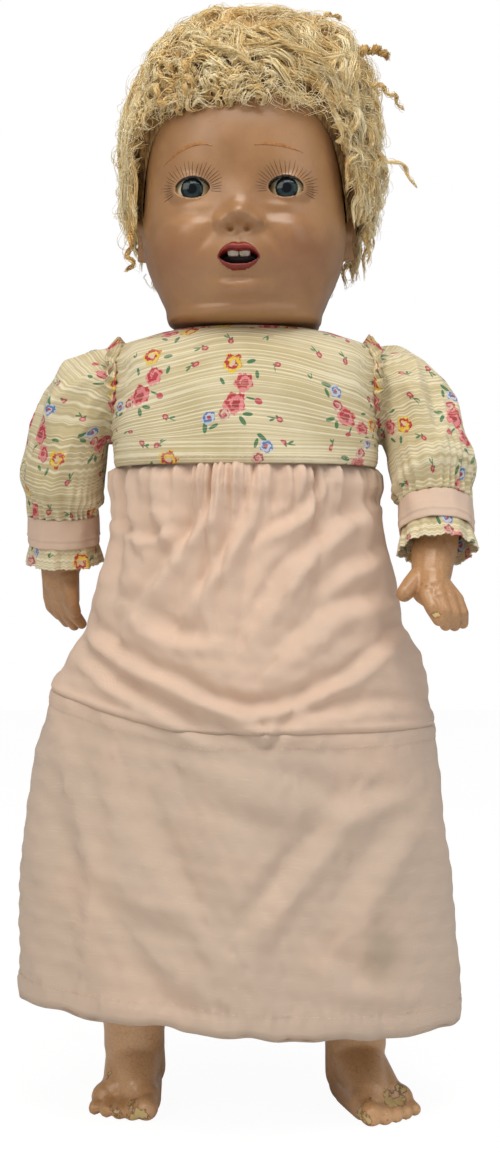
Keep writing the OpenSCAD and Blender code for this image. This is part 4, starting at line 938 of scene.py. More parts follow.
batch("wig_springy_rolls", twist(rng, [(58, -18, 618), (68, -20, 626), (79, -18, 628), (86, -14, 624)], 60,
    3.6, 4.5, 0.26, 0.34), twist(rng, [(36, -14, 640), (45, -16, 650), (52, -14, 654), (58, -10, 650)], 46,
    3.0, 3.5, 0.25, 0.5), twist(rng, [(70, -30, 606), (82, -28, 602), (90, -22, 598), (94, -16, 592)], 26,
    2.4, 3.0, 0.22, 0.55), twist(rng, [(76, -26, 566), (86, -24, 560), (97, -20, 556), (101, -16, 546)], 20,
    2.2, 2.0, 0.22, 0.6), twist(rng, [(-70, -30, 524), (-69, -34, 514), (-73, -36, 506), (-68, -36, 500),
    (-72, -34, 494)], 34, 2.8, 2.5, 0.25, 0.36), twist(rng, [(12, -58, 632), (26, -64, 622), (42, -64, 612),
    (54, -58, 604)], 60, 2.2, 1.5, 0.26, 0.7), twist(rng, [(-34, -54, 628), (-18, -64, 622), (0, -69, 612),
    (14, -68, 603)], 60, 2.4, 1.8, 0.26, 0.66), twist(rng, [(-56, -48, 612), (-50, -56, 600),
    (-54, -58, 590), (-48, -60, 584)], 50, 3.2, 3.0, 0.26, 0.46),
    twist(rng, [(-30, -66, 612), (-36, -70, 602), (-30, -72, 594), (-34, -72, 588)], 50, 3.4, 3.0, 0.26,
    0.52), twist(rng, [(40, -58, 606), (52, -54, 590), (58, -50, 572), (56, -52, 558)], 44, 2.0, 1.3, 0.25,
    0.7))
for name, (paths, thick, tone) in batches.items():
    paths[..., 2] = np.where(paths[..., 2] > 646, 646 + (paths[..., 2] - 646) * 0.55, paths[..., 2])
    paths = slimmed(paths)
    edge = hairline(np.arctan2(paths[..., 0], -paths[..., 1]))
    if name != "wig_springy_rolls":
        bare = ((paths[..., 1] < -20) & (np.abs(paths[..., 0]) < 60) & (paths[..., 2] < edge - 8)).any(1)
        paths, thick, tone = paths[~bare], thick[~bare], tone[~bare]
    if name == "wig_stray_fibres":
        paths[..., 2] = np.where(paths[..., 2] < 505, 505 + (paths[..., 2] - 505) * 0.35, paths[..., 2])
    low_edge = hairline(np.arctan2(paths[..., 0], -paths[..., 1])) - 6
    front = np.abs(paths[..., 0]) < 60
    sunk = np.where(front & (paths[..., 1] < -30), np.maximum(0, low_edge - paths[..., 2]), 0)
    paths[..., 2] += sunk * 0.5
    hair = grown(name, paths, thick, tone, pale_mohair)
    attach(hair, "head")

# ---- Wood, wire, tin, card and fibre of the inner works -------------------------------------------
# A turned wood button plugs the neck and hangs on a wire hook and spring. A tin bracket carries the
# eye rod with its lead weight. Fibre discs on steel pins joint the limbs, tied on with waxed thread.


def surface(name, low, high, spot_mm, rough, metallic=0.0, streak=(1, 1, 1), dirt=None, deep=0.0003):
    """A material with its colour varied in streaks or spots, uneven roughness, and dirt or wear over it."""
    made, tree, shader, where = new_material(name)
    run = add(tree, "ShaderNodeMapping", {"Vector": where, "Scale": streak}).outputs[0]
    grain = noise(tree, run, spot_mm, 4, 0.6, seed=1)
    colour = mix(tree, between(tree, grain, 0.32, 0.68), tint(low), tint(high))
    if dirt:
        spots = between(tree, noise(tree, where, spot_mm * 4, 4, 0.7, seed=5), 0.55, 0.75, 0, 0.8)
        colour = mix(tree, spots, colour, tint(dirt))
    uneven = between(tree, grain, 0.3, 0.7, rough - 0.07, rough + 0.07)
    coat(tree, shader, colour, uneven, relief(tree, grain, 0.35, deep))
    shader.inputs["Metallic"].default_value = metallic
    return made


for nodes, finish in (
        (["neck_button", "voice_grille"],
         surface("turned_beech", "#a77b4d", "#c79d6b", 2.0, 0.6, streak=(1, 1, 0.12), dirt="#7a5634")),
        (["neck_hook", "neck_spring", "eye_rod", "shoulder_pins", "hip_pins"],
         surface("drawn_steel_wire", "#8b8984", "#b3b0a9", 1.2, 0.36, 1.0, dirt="#6b4a30")),
        (["eye_bracket", "eye_yoke", "neck_washer"],
         surface("tin_plate", "#a3a29c", "#c4c3bd", 6.0, 0.42, 1.0, dirt="#7d6a55")),
        (["eye_weight", "voice_weight"],
         surface("cast_lead", "#5f6063", "#7f8083", 2.5, 0.62, 1.0, dirt="#8b8a86")),
        (["eye_stop_pad"], felt("grey_pad_felt", "#5d574c", "#857c6c", 0.9)),
        (["voice_can"], surface("rolled_grey_card", "#8f8370", "#aa9d86", 3.0, 0.85, dirt="#6d614f")),
        (["crown_pate"],
         surface("pate_card", "#957747", "#b59562", 2.4, 0.85, streak=(0.4, 0.4, 1), dirt="#6f5736")),
        (["body_shoulder_discs", "body_hip_discs", "arm_disc_right", "arm_disc_left", "leg_disc_right",
          "leg_disc_left"], surface("vulcan_fibre", "#5a2c20", "#74402f", 2.0, 0.55, dirt="#3b1d15")),
        (["voice_reed"],
         surface("rolled_brass", "#a98443", "#c7a35b", 1.5, 0.32, 1.0, streak=(1, 0.15, 1), dirt="#6f5a2e")),
        (["arm_tie_right", "arm_tie_left", "leg_tie_right", "leg_tie_left"],
         surface("waxed_linen_thread", "#a89a7c", "#cbbf9f", 0.8, 0.7, streak=(1, 1, 3), dirt="#7d7159")),
        (["back_buttons"],
         surface("pearl_shell", "#d9d2c6", "#f0ece2", 2.2, 0.2, dirt="#bfb2a4", deep=0.0001))):
    for node in nodes:
        made_of(node, finish)
plate, tree, shader, where, colour = composition("composition_shoulder_plate",
    ("#bd8f66", "#ad7e57", "#cc9f76"))
cells = add(tree, "ShaderNodeTexVoronoi", {"Vector": where, "Scale": 260.0},
    feature="DISTANCE_TO_EDGE").outputs[0]
colour = mix(tree, between(tree, cells, 0.0, 0.04, 0.35, 0.0), colour, tint("#74502f"))
coat(tree, shader, colour, 0.45)
made_of("shoulder_plate", plate)

# ---- Crying voice ----------------------------------------------------------------------------------
# A leather bellows under a card can: the weight falls when the doll is tipped and drives air
# through the reed.
points = []
for k in range(11):
    z = 308.3 + 32.6 * k / 10 - 0.25
    for i in range(64):
        b = 2 * math.pi * i / 64
        r = (18.2 if k % 2 else 13.9) + 0.25 * math.sin(12 * b + k) * (k % 2)
        points.append((r * math.cos(b), -4 + r * math.sin(b), z))
faces = net(11, 64) + [tuple(range(64))[::-1], tuple(range(10 * 64, 11 * 64))]
bellows = put("leather_bellows", points, faces, smooth=False)
bevel = bellows.modifiers.new("soft_folds", "BEVEL")
bevel.width, bevel.segments, bevel.limit_method = 0.0006, 2, "ANGLE"
bellows.data.materials.append(surface("kid_leather", "#8d7660", "#a8907a", 1.6, 0.65, dirt="#5f4d3c",
    deep=0.0004))
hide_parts("voice_bellows")
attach(bellows, "torso")
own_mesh(bellows)

# ---- Stuffed body, upper arms and thighs -----------------------------------------------------------
# Unbleached muslin sewn with plain seams and stuffed hard with cotton: the body has side seams and
# one down the back, the arms and thighs one each, and the cloth puckers along every seam.


def stuffed(rings, columns, inner_x=None, seams=(), pinch=0.8, rows=70):
    """A stuffed bag from rings of height, middle x, middle y, half width, half depth and squareness."""
    rings = np.array(sorted(rings), float)
    zs = np.linspace(rings[0, 0], rings[-1, 0], rows)
    form = np.stack([np.interp(zs, rings[:, 0], rings[:, k]) for k in range(1, 6)], -1)
    for _ in range(2):
        form[1:-1] = 0.25 * form[:-2] + 0.5 * form[1:-1] + 0.25 * form[2:]
    b = np.arange(columns) / columns * 2 * np.pi
    bb, zz = np.meshgrid(b, zs)
    n = form[:, 4:5]
    r = ((np.abs(np.sin(bb)) / form[:, 2:3]) ** n + (np.abs(np.cos(bb)) / form[:, 3:4]) ** n) ** (-1 / n)
    lumps = 0.5 * np.sin(5 * bb + zz * 0.11) * np.sin(zz * 0.17 + 2 * bb) + 0.3 * np.sin(11 * bb - zz * 0.23)
    ends = np.minimum(zs - zs[0], zs[-1] - zs)[:, None]
    pucker = 0.4 * np.sin(34 * bb) * np.exp(-ends / 6)
    for at in seams:
        off = np.abs((bb - at + np.pi) % (2 * np.pi) - np.pi) * r
        lumps += -pinch * np.exp(-(off / 1.6) ** 2) + 0.35 * np.exp(-(off / 5) ** 2) * np.sin(zz * 1.3)
    r = np.maximum(r + np.minimum(lumps + pucker, 0.9) - 0.5, 1.0)
    p = np.stack([form[:, 0:1] + r * np.sin(bb), form[:, 1:2] - r * np.cos(bb), zz], -1)
    if inner_x is not None:
        p[..., 0] = np.maximum(p[..., 0], inner_x + 0.4)
    poles = np.array([[form[0, 0], form[0, 1], zs[0] - 0.8], [form[-1, 0], form[-1, 1], zs[-1] + 0.3]])
    if inner_x is not None:
        poles[:, 0] = np.maximum(poles[:, 0], inner_x + 2)
    return np.vstack([p.reshape(-1, 3), poles]), capped(rows, columns)


def muslin(name):
    """Unbleached muslin: an open plain weave with dark flecks of seed husk, yellowed and handled."""
    made, tree, shader, where = new_material(name)
    base = mix(tree, between(tree, noise(tree, where, 30, 3), 0.35, 0.65), tint("#cdbd98"), tint("#ddd1b1"))
    base = mix(tree, between(tree, noise(tree, where, 1.6, 2, seed=3), 0.72, 0.78, 0, 0.7), base,
        tint("#8a7350"))
    waves = [add(tree, "ShaderNodeTexWave", {"Vector": where, "Scale": 330.0, "Distortion": 0.6},
        bands_direction=way).outputs["Fac"] for way in "ZX"]
    threads = maths(tree, "MULTIPLY", *waves)
    colour = mix(tree, between(tree, threads, 0, 1, 0.25, 0), base, tint("#a18f68"))
    coat(tree, shader, colour, 0.9, relief(tree, threads, 0.35, 0.0004))
    shader.inputs["Sheen Weight"].default_value = 0.1
    return made


calico = muslin("unbleached_muslin")
BODY = [[-26, 18, 16, 0, 2], [-24, 30, 27, 0, 2.2], [-17, 40, 37, 0, 2.4], [-6, 43.5, 42, 0, 2.6],
        [8, 44, 43, 0, 2.6], [31, 45, 45.5, -2, 2.4], [42, 51, 47, -3, 2.3], [58, 56, 48.5, -4, 2.2],
        [80, 58, 49, -4, 2.2],
        [104, 57, 47, -3, 2.2], [128, 57, 44, -1, 2.2], [148, 59, 42, 0, 2.4], [162, 60, 40.5, 0, 2.5],
        [180, 59, 40, 0, 2.5], [185, 58, 39, 0, 2.4]]
points, faces = stuffed([(255 + b[0], 0, b[3], b[1], b[2], b[4]) for b in BODY], 200,
    seams=(math.pi / 2, -math.pi / 2, math.pi), rows=120)
body_bag = put("stuffed_body", points, faces)
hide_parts("torso_body")
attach(body_bag, "torso")
bags = [(body_bag, 0.85)]
ARM = [[1, 8, 8, 1], [.86, 14.5, 14.5, .96], [.66, 15.5, 15.5, .82], [.42, 15, 16.5, .62],
    [.22, 17, 18, .22], [0, 19, 18, .03], [-.12, 17.5, 16, 0], [-.2, 14.5, 12.5, 0], [-.24, 10, 8, 0]]
THIGH = [[0, .86, .9, 2], [.1, .93, .98, 2], [.35, 1, 1.06, 2.1], [.62, 1, 1.06, 2.2], [.86, 1, 1.02, 2.3],
    [1, 1, .98, 2.4], [1.1, .92, .84, 2.4], [1.17, .76, .64, 2.3], [1.2, .5, .4, 2.2]]

# ---- Hands and forearms --------------------------------------------------------------------
# Each forearm and its hand is one hollow moulding of composition, with a groove round its top
# where the cloth arm is tied on. The fingers are moulded together, bent a little and flaked.
SHOULDER_Z, WRIST_Z, WRIST_X = 424.0, 316.0, 111.5
FORWARD = {"right": -13.0, "left": 24.0}
SIDE = {"right": -1, "left": 1}


def capsule(p0, r0, p1, r1, around=14, caps=4):
    """A rod with round ends, thicker at one end than the other."""
    p0, p1 = np.array(p0, float), np.array(p1, float)
    f = p1 - p0
    f = f / max(np.linalg.norm(f), 1e-6)
    u = np.cross(f, (0, 0, 1.0) if abs(f[2]) < 0.9 else (1.0, 0, 0))
    u = u / np.linalg.norm(u)
    v = np.cross(f, u)
    rings = [(p0, r0, -math.pi / 2 + math.pi / 2 * k / caps) for k in range(1, caps + 1)]
    rings += [(p1, r1, math.pi / 2 * k / caps) for k in range(caps)]
    pts = [p0 - f * r0]
    for c, r, e in rings:
        for i in range(around):
            b = 2 * math.pi * i / around
            pts.append(c + f * r * math.sin(e) + r * math.cos(e) * (u * math.cos(b) + v * math.sin(b)))
    pts.append(p1 + f * r1)
    n = len(rings)
    faces = [(0, 1 + (i + 1) % around, 1 + i) for i in range(around)]
    for j in range(n - 1):
        for i in range(around):
            a, b = 1 + j * around + i, 1 + j * around + (i + 1) % around
            faces.append((a, b, b + around, a + around))
    last = len(pts) - 1
    faces += [(last, last - around + i, last - around + (i + 1) % around) for i in range(around)]
    return np.array(pts), faces


def lathe_rings(rows, around=40):
    """A closed round form from rows of middle x, middle y, height, half width and half depth."""
    pts = []
    for cx, cy, z, rx, ry in rows:
        for i in range(around):
            b = 2 * math.pi * i / around
            pts.append((cx + rx * math.cos(b), cy + ry * math.sin(b), z))
    return np.array(pts + [rows[0][:3], rows[-1][:3]], float), capped(len(rows), around)


def fused(name, parts, voxel, passes):
    """Joins overlapping closed forms into one skin, as a mould does, and smooths it."""
    pts, faces = [], []
    for p, f in parts:
        base = sum(len(q) for q in pts)
        pts.append(p)
        faces += [tuple(base + k for k in g) for g in f]
    made = put(name, np.vstack(pts), faces)
    remesh = made.modifiers.new("skin", "REMESH")
    remesh.mode, remesh.voxel_size = "VOXEL", voxel / 1000
    soft = made.modifiers.new("soft", "SMOOTH")
    soft.factor, soft.iterations = 0.5, passes
    bpy.context.view_layer.update()
    mesh = bpy.data.meshes.new_from_object(made.evaluated_get(bpy.context.evaluated_depsgraph_get()))
    made.modifiers.clear()
    made.data = mesh
    mesh.name = name
    mesh.shade_smooth()
    return made


def swung(points, degrees):
    """Points in mm turned about the shoulders' axis, forward for a positive angle of the arm's own place."""
    p = np.array(points, float)
    c, s = math.cos(math.radians(degrees)), math.sin(math.radians(degrees))
    y, z = p[:, 1].copy(), p[:, 2] - SHOULDER_Z
    p[:, 1], p[:, 2] = y * c - z * s, y * s + z * c + SHOULDER_Z
    return p


def curled_hand():
    """The left hand, as it hangs at rest: bent back at the wrist, thumb to -X, fingers curled."""
    parts = [capsule((109.5, -41, 330), 13.2, (107.5, -49, 317.5), 11.8),
        capsule((107.5, -50, 316), 10.5, (107, -58, 309), 9.4),
        capsule((103, -56, 307), 7.6, (111, -58, 301), 7.0),
        capsule((103, -49, 316.5), 8.0, (95.5, -57, 311), 6.0),
        capsule((95.5, -57, 311), 6.0, (90.5, -63, 306), 4.9)]
    for k1, k2, k3, r in (((103.5, -65, 305), (106, -70, 298), (109.3, -70.5, 291.5), 4.6),
            ((109.8, -66.5, 304), (112.3, -70.5, 296), (113.6, -66.5, 288.5), 4.4),
            ((115.4, -64.5, 303), (117.8, -67.5, 295), (119, -63, 288), 4.2),
            ((120.2, -60.5, 302.5), (123.2, -63, 295), (124.3, -58.5, 289), 3.9)):
        parts += [capsule((108, -52, 313), 8.6, k1, r + 0.7), capsule(k1, r + 0.4, k2, r),
            capsule(k2, r, k3, r * 0.84)]
    return [(swung(p, FORWARD["left"]), f) for p, f in parts]


def straight_hand():
    """The right hand: fingers down, thumb to -X and its back to -Y, then turned and set on the wrist."""
    parts = [capsule((0, 0, 7), 10.4, (0, 0, -2), 10.0)]
    palm = [(-8.6, 5.2), (-3.0, 5.7), (3.0, 5.6), (8.4, 5.0)]
    for x, r in palm:
        parts.append(capsule((x * 0.55, 0.3, -1), 7.6, (x, 0.2, -13), r))
    lengths = (10.5, 12.5, 12.0, 9.5)
    for (x, r), long, spread in zip(palm, lengths, (1.14, 1.1, 1.12, 1.22)):
        k1 = (x * 1.06, -0.3, -14.5)
        k2 = (x * spread, 1.4, -14.5 - long * 0.62)
        k3 = (x * spread * 1.02, 6.2, -15.5 - long * 1.12)
        parts += [capsule(k1, 4.15, k2, 3.65), capsule(k2, 3.65, k3, 3.0)]
    parts += [capsule((-5.0, -0.5, -2), 6.4, (-11.2, -1.6, -8.8), 4.7),
        capsule((-11.2, -1.6, -8.8), 4.5, (-13.9, -2.4, -14.2), 3.8),
        capsule((-13.9, -2.4, -14.2), 3.8, (-14.3, -0.8, -18.6), 3.2)]
    spin = np.array(Matrix.Rotation(math.radians(48), 3, "Z"))
    return [(1.15 * (p @ spin.T) + np.array((WRIST_X + 3, 0, WRIST_Z - 1)), f) for p, f in parts]


def on_arm(points, side):
    """From the arm's own place, hanging straight down on the left, to where that arm hangs at rest."""
    p = np.array(points, float)
    p[:, 0] *= SIDE[side]
    return swung(p, -FORWARD[side])


def limb_paint(name, skin_tones, more):
    """Composition as on the head, flaked to the cream ground where hands and feet are knocked."""
    made, tree, shader, where, colour = composition(name, skin_tones)
    cells = add(tree, "ShaderNodeTexVoronoi", {"Vector": where, "Scale": 330.0},
        feature="DISTANCE_TO_EDGE").outputs[0]
    colour = mix(tree, between(tree, cells, 0.0, 0.05, 0.3, 0.0), colour, tint("#6e4a2f"))
    reach = painted(tree, "worn")
    ragged = noise(tree, where, 6.0, 5, 0.62, seed=6)
    worn = maths(tree, "ADD", ragged, between(tree, reach, 0, 1, -0.30, more))
    bare = between(tree, worn, 0.515, 0.545)
    ring = between(tree, worn, 0.47, 0.52)
    colour = mix(tree, ring, colour, tint("#8b6039"))
    ground = mix(tree, noise(tree, where, 3, 3, seed=12), tint("#cfae6e"), tint("#e6d09a"))
    pulp = between(tree, worn, 0.66, 0.72)
    ground = mix(tree, pulp, ground, tint("#a8763f"))
    colour = mix(tree, bare, colour, ground)
    shader.inputs["Specular IOR Level"].default_value = 0.6
    step = relief(tree, bare, 0.7, 0.0004, invert=True)
    grain = relief(tree, noise(tree, where, 1.2, 3, seed=4), 0.15, 0.0006, step)
    coat(tree, shader, colour, between(tree, bare, 0, 1, 0.32, 0.65), grain)
    return made


def points_of(made):
    """The points of a piece in metres."""
    co = np.empty(len(made.data.vertices) * 3, np.float32)
    made.data.vertices.foreach_get("co", co)
    return co.reshape(-1, 3)


def lay_wear(made, spots):
    """Marks how worn each point is: spots are places in mm with a reach."""
    co = points_of(made) * 1000
    worn = np.zeros(len(co), np.float32)
    for (x, y, z), reach, depth in spots:
        worn = np.maximum(worn, depth * np.exp(-((co - (x, y, z)) ** 2).sum(1) / reach ** 2))
    mark(made, "worn", worn)


hand_skin = limb_paint("flaked_composition_hands", ("#b98c62", "#a67a52", "#c99c70"), 0.10)
for side in ("right", "left"):
    parts = curled_hand() if side == "left" else straight_hand()
    parts.append(lathe_rings([(WRIST_X, 0, z, r, r) for z, r in [(WRIST_Z - 1, 9.0), (WRIST_Z + 5, 11.6),
        (WRIST_Z + 12, 12.8), (WRIST_Z + 20, 13.2), (WRIST_Z + 28, 13.5), (WRIST_Z + 35, 13.2),
        (WRIST_Z + 37.6, 12.2), (WRIST_Z + 38.4, 9.2), (WRIST_Z + 45, 9.0)]]))
    forearm = fused(f"composition_hand_{side}", parts, 0.75, 5)
    co = (on_arm(points_of(forearm) * 1000, side) / 1000).astype(np.float32)
    forearm.data.vertices.foreach_set("co", co.ravel())
    outward(forearm.data)
    low, high = (v * 1000 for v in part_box(f"forearm_{side}"))
    mid = (low + high) / 2
    if side == "left":
        spots = [((90, -64, 305), 6, 0.85), ((108, -73, 295), 5, 0.8), ((104, -66, 309), 4, 0.7),
            ((120, -64, 289), 4, 0.8)]
    else:
        spots = [((mid.x, mid.y - 10, low.z + 4), 9, 0.9), ((mid.x + 6, mid.y - 4, low.z + 14), 6, 0.7)]
    lay_wear(forearm, spots)
    forearm.data.materials.append(hand_skin)
    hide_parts(f"forearm_{side}")
    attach(forearm, f"arm_{side}")

# ---- Lower legs and feet -------------------------------------------------------------------
# Each lower leg is one moulding with its foot, baby-fat at the ankle, with five toes and a
# groove under its top where the thigh is tied on. The toes are flaked to the cream ground.
LEG_X = 67.0
FOOT_OUT = {"right": 8.0, "left": 24.0}
HEEL_BACK = {"right": 32.0, "left": 22.0}
FOOT_LONG, FOOT_WIDE = 78.0, 45.0


def foot_parts(side):
    """The foot with its big toe to -X and its toes to -Y, turned out about the leg."""
    heel = HEEL_BACK[side]
    tip, half = heel - FOOT_LONG, FOOT_WIDE / 2
    parts = [capsule((0, heel - 16.5, 16), 16.3, (0, 2, 34), 18.0, 24, 7),
        capsule((0, heel - 15, 8.5), 13.5, (0, heel - 26, 8.0), 13.0, 24, 7),
        capsule((0, 0, 27), 17.4, (-6, tip + 27, 13), 11.5, 24, 7),
        capsule((2, 2, 24), 16.4, (6, tip + 29, 10.5), 10.0, 24, 7),
        capsule((-3, heel - 24, 8), 12.5, (-half + 11.5, tip + 22, 8.2), 10.2, 24, 7),
        capsule((4, heel - 26, 7.5), 11.5, (half - 10, tip + 26, 7.2), 9.0, 24, 7)]
    for k, r in enumerate((7.3, 5.6, 5.1, 4.7, 4.3)):
        x = -half + 7.6 + k * (FOOT_WIDE - 12.8) / 4
        y = tip + r + k * k * 0.62
        parts.append(capsule((x * 0.94, tip + 22 + k, 7.0), r * 0.98, (x - 0.5, y + 3.5, r + 0.4), r * 0.86,
            16, 5))
        parts.append(capsule((x - 0.5, y + 3.4, r + 0.2), r * 0.92, (x - 0.5, y, r - 0.5), r * 0.94, 16, 5))
    c, s = math.cos(math.radians(FOOT_OUT[side])), math.sin(math.radians(FOOT_OUT[side]))
    out = []
    for p, f in parts:
        p = np.array(p)
        out.append((np.stack([p[:, 0] * c - p[:, 1] * s + LEG_X, p[:, 0] * s + p[:, 1] * c, p[:, 2]], 1), f))
    return out


# The feet are painted lighter than the hands: painted light that offsets the shade under the skirt.
foot_skin_lightened = limb_paint("flaked_composition_feet_lightened", ("#e0b083", "#cb9a6a", "#eec497"), 0.05)
for side in ("right", "left"):
    parts = foot_parts(side)
    parts.append(lathe_rings([(LEG_X, cy, z, rx, ry) for cy, z, rx,
        ry in [(4, 22, 16, 17), (3.5, 32, 18.4, 19.2), (2.5, 42, 18.3, 19.0), (2, 50, 19.2, 20.0),
        (1.5, 66, 20.2, 20.8), (1.8, 80, 22.0, 23.0), (2, 96, 23.2, 24.2), (2, 114, 23.4, 24.3),
        (1, 128, 22.6, 23.4), (0, 140, 21.2, 21.8), (0, 147, 19.6, 20.0), (0, 149.6, 17.2, 17.6),
        (0, 150.2, 13, 13), (0, 161.8, 12.8, 12.8)]]))
    leg = fused(f"composition_foot_{side}", parts, 1.3, 5)
    co = points_of(leg)
    co[:, 2] = np.maximum(co[:, 2], 0.0)
    co[:, 0] *= SIDE[side]
    leg.data.vertices.foreach_set("co", co.ravel())
    outward(leg.data)
    if side == "left":
        spots = [((72, -50, 6), 13, 1.0), ((88, -38, 12), 12, 1.0), ((92, -30, 16), 12, 0.95),
            ((66, -20, 28), 8, 0.7)]
    else:
        spots = [((-62, -42, 6), 10, 1.0), ((-75, -42, 6), 9, 0.9), ((-84, -20, 22), 9, 0.85),
            ((-66, -18, 26), 8, 0.7)]
    lay_wear(leg, spots)
    leg.data.materials.append(foot_skin_lightened)
    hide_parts(f"lower_leg_{side}")
    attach(leg, f"leg_{side}")


# The cloth arms and thighs hang inside the sleeves and under the skirt
for label, s in SIDE.items():
    points, faces = stuffed([(424 - 70 * a[0], 79 + 32.5 * a[3], 0, a[1], a[2], 2.2) for a in ARM], 110,
        inner_x=61, seams=(-math.pi / 2,), rows=64)
    upper_arm = put(f"stuffed_upper_arm_{label}", on_arm(points, label), faces)
    outward(upper_arm.data)
    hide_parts(f"upper_arm_{label}")
    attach(upper_arm, f"arm_{label}")
    bags.append((upper_arm, 0.7))
    points, faces = stuffed([(153 + 102 * g[0], 69, 0, 25 * g[1], 25 * g[2], g[3]) for g in THIGH], 130,
        inner_x=45, seams=(math.pi,), rows=80)
    points[:, 0] *= s
    thigh = put(f"stuffed_thigh_{label}", points, faces)
    outward(thigh.data)
    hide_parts(f"thigh_{label}")
    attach(thigh, f"leg_{label}")
    bags.append((thigh, 0.8))
for bag, fill in bags:
    bag.data.materials.append(calico)

# ---- Skirt of the gown ----------------------------------------------------------------------
# One length of washed pink cotton, gathered into the yoke seam. A growth tuck is folded across
# it and stitched down, the hem is turned up, and the cloth is faded, rubbed and water stained.
SKIRT_FORM = np.array([[58, .995, 1, -3.3], [90, 1, .985, -4], [150, .972, .95, -6.4], [211, .92, .9, -5.5],
    [250, .862, .86, -3], [271, .8, .835, 0], [285, .728, .815, 0], [300, .712, .795, 0],
    [314, .69, .775, 0], [332, .645, .75, 0], [350, .62, .725, 0], [367, .598, .7, 0], [387, .596, .68, 0]])


def cloth(name, p, u, v, closed=False, wall=0.7, **paints):
    """A sheet of cloth from rows of points in mm, with its cut lengths as its UV map, in units of 100 mm."""
    rows, columns = p.shape[:2]
    made = put(name, p.reshape(-1, 3), net(rows, columns, closed))
    wide = columns if closed else columns - 1
    j, i = np.meshgrid(np.arange(rows - 1), np.arange(wide), indexing="ij")
    k = i + 1
    if closed:
        step = u[:, -1:] - u[:, -2:-1]
        u = np.concatenate([u, u[:, -1:] + step], 1)
        v = np.concatenate([v, v[:, :1]], 1)
    corners = [(j, i), (j, k), (j + 1, k), (j + 1, i)]
    flat = np.stack([np.stack([u[c], v[c]], -1) for c in corners], 2).reshape(-1, 2) / 100
    layer = made.data.uv_layers.new(name="cut")
    layer.data.foreach_set("uv", flat.astype(np.float32).reshape(-1))
    for label, values in paints.items():
        mark(made, label, values)
    solid = made.modifiers.new("cloth_thickness", "SOLIDIFY")
    solid.thickness, solid.offset = wall / 1000, -1
    return made


def lengths(p):
    """How far each point of the rows lies along its row and up its column, in mm."""
    du = np.linalg.norm(np.diff(p, axis=1), axis=2)
    dv = np.linalg.norm(np.diff(p, axis=0), axis=2)
    u = np.concatenate([np.zeros((p.shape[0], 1)), np.cumsum(du, 1)], 1)
    v = np.concatenate([np.zeros((1, p.shape[1])), np.cumsum(dv, 0)], 0)
    return u, v


def skirt_at(a, z, out=0.0):
    """A point of the skirt at an angle from the front and a height, so far outside its plain form."""
    w = 132 * np.interp(z, SKIRT_FORM[:, 0], SKIRT_FORM[:, 1]) + out
    d = 92 * np.interp(z, SKIRT_FORM[:, 0], SKIRT_FORM[:, 2]) + out
    n = 2.15
    r = (np.abs(np.sin(a) / w) ** n + np.abs(np.cos(a) / d) ** n) ** (-1 / n)
    return np.stack([r * np.sin(a) + np.interp(z, SKIRT_FORM[:, 0], SKIRT_FORM[:, 3]), -r * np.cos(a), z], -1)


def tuck_at(a):
    """Height of the tuck's lower edge at an angle from the front."""
    return 229 + 24 * np.maximum(0, -np.sin(a + math.radians(12))) ** 1.6 + 6 * ramp(-np.cos(a), -0.2, 0.2)


def hem_at(a):
    """Height of the hem at an angle from the front."""
    return 61 - 7.5 * np.sin(a)


def fold(x, z, path, wide, high):
    """A soft fold that follows a path over the front of the cloth: a ridge with a hollow below it."""
    best = np.full(x.shape, 1e9)
    side = np.zeros(x.shape)
    share = np.zeros(x.shape)
    total = len(path) - 1
    for k in range(total):
        (x0, z0), (x1, z1) = path[k], path[k + 1]
        ex, ez = x1 - x0, z1 - z0
        t = np.clip(((x - x0) * ex + (z - z0) * ez) / (ex * ex + ez * ez), 0, 1)
        dx, dz = x - x0 - t * ex, z - z0 - t * ez
        far = np.hypot(dx, dz)
        nearer = far < best
        best = np.where(nearer, far, best)
        side = np.where(nearer, np.sign(ex * dz - ez * dx), side)
        share = np.where(nearer, (k + t) / total, share)
    d = best * side / wide
    rise = np.exp(-(d - 0.5) ** 2 * 1.6) - 0.75 * np.exp(-(d + 0.75) ** 2 * 2.2)
    return high * rise * np.sin(math.pi * np.clip(share * 0.92 + 0.04, 0, 1)) ** 0.6


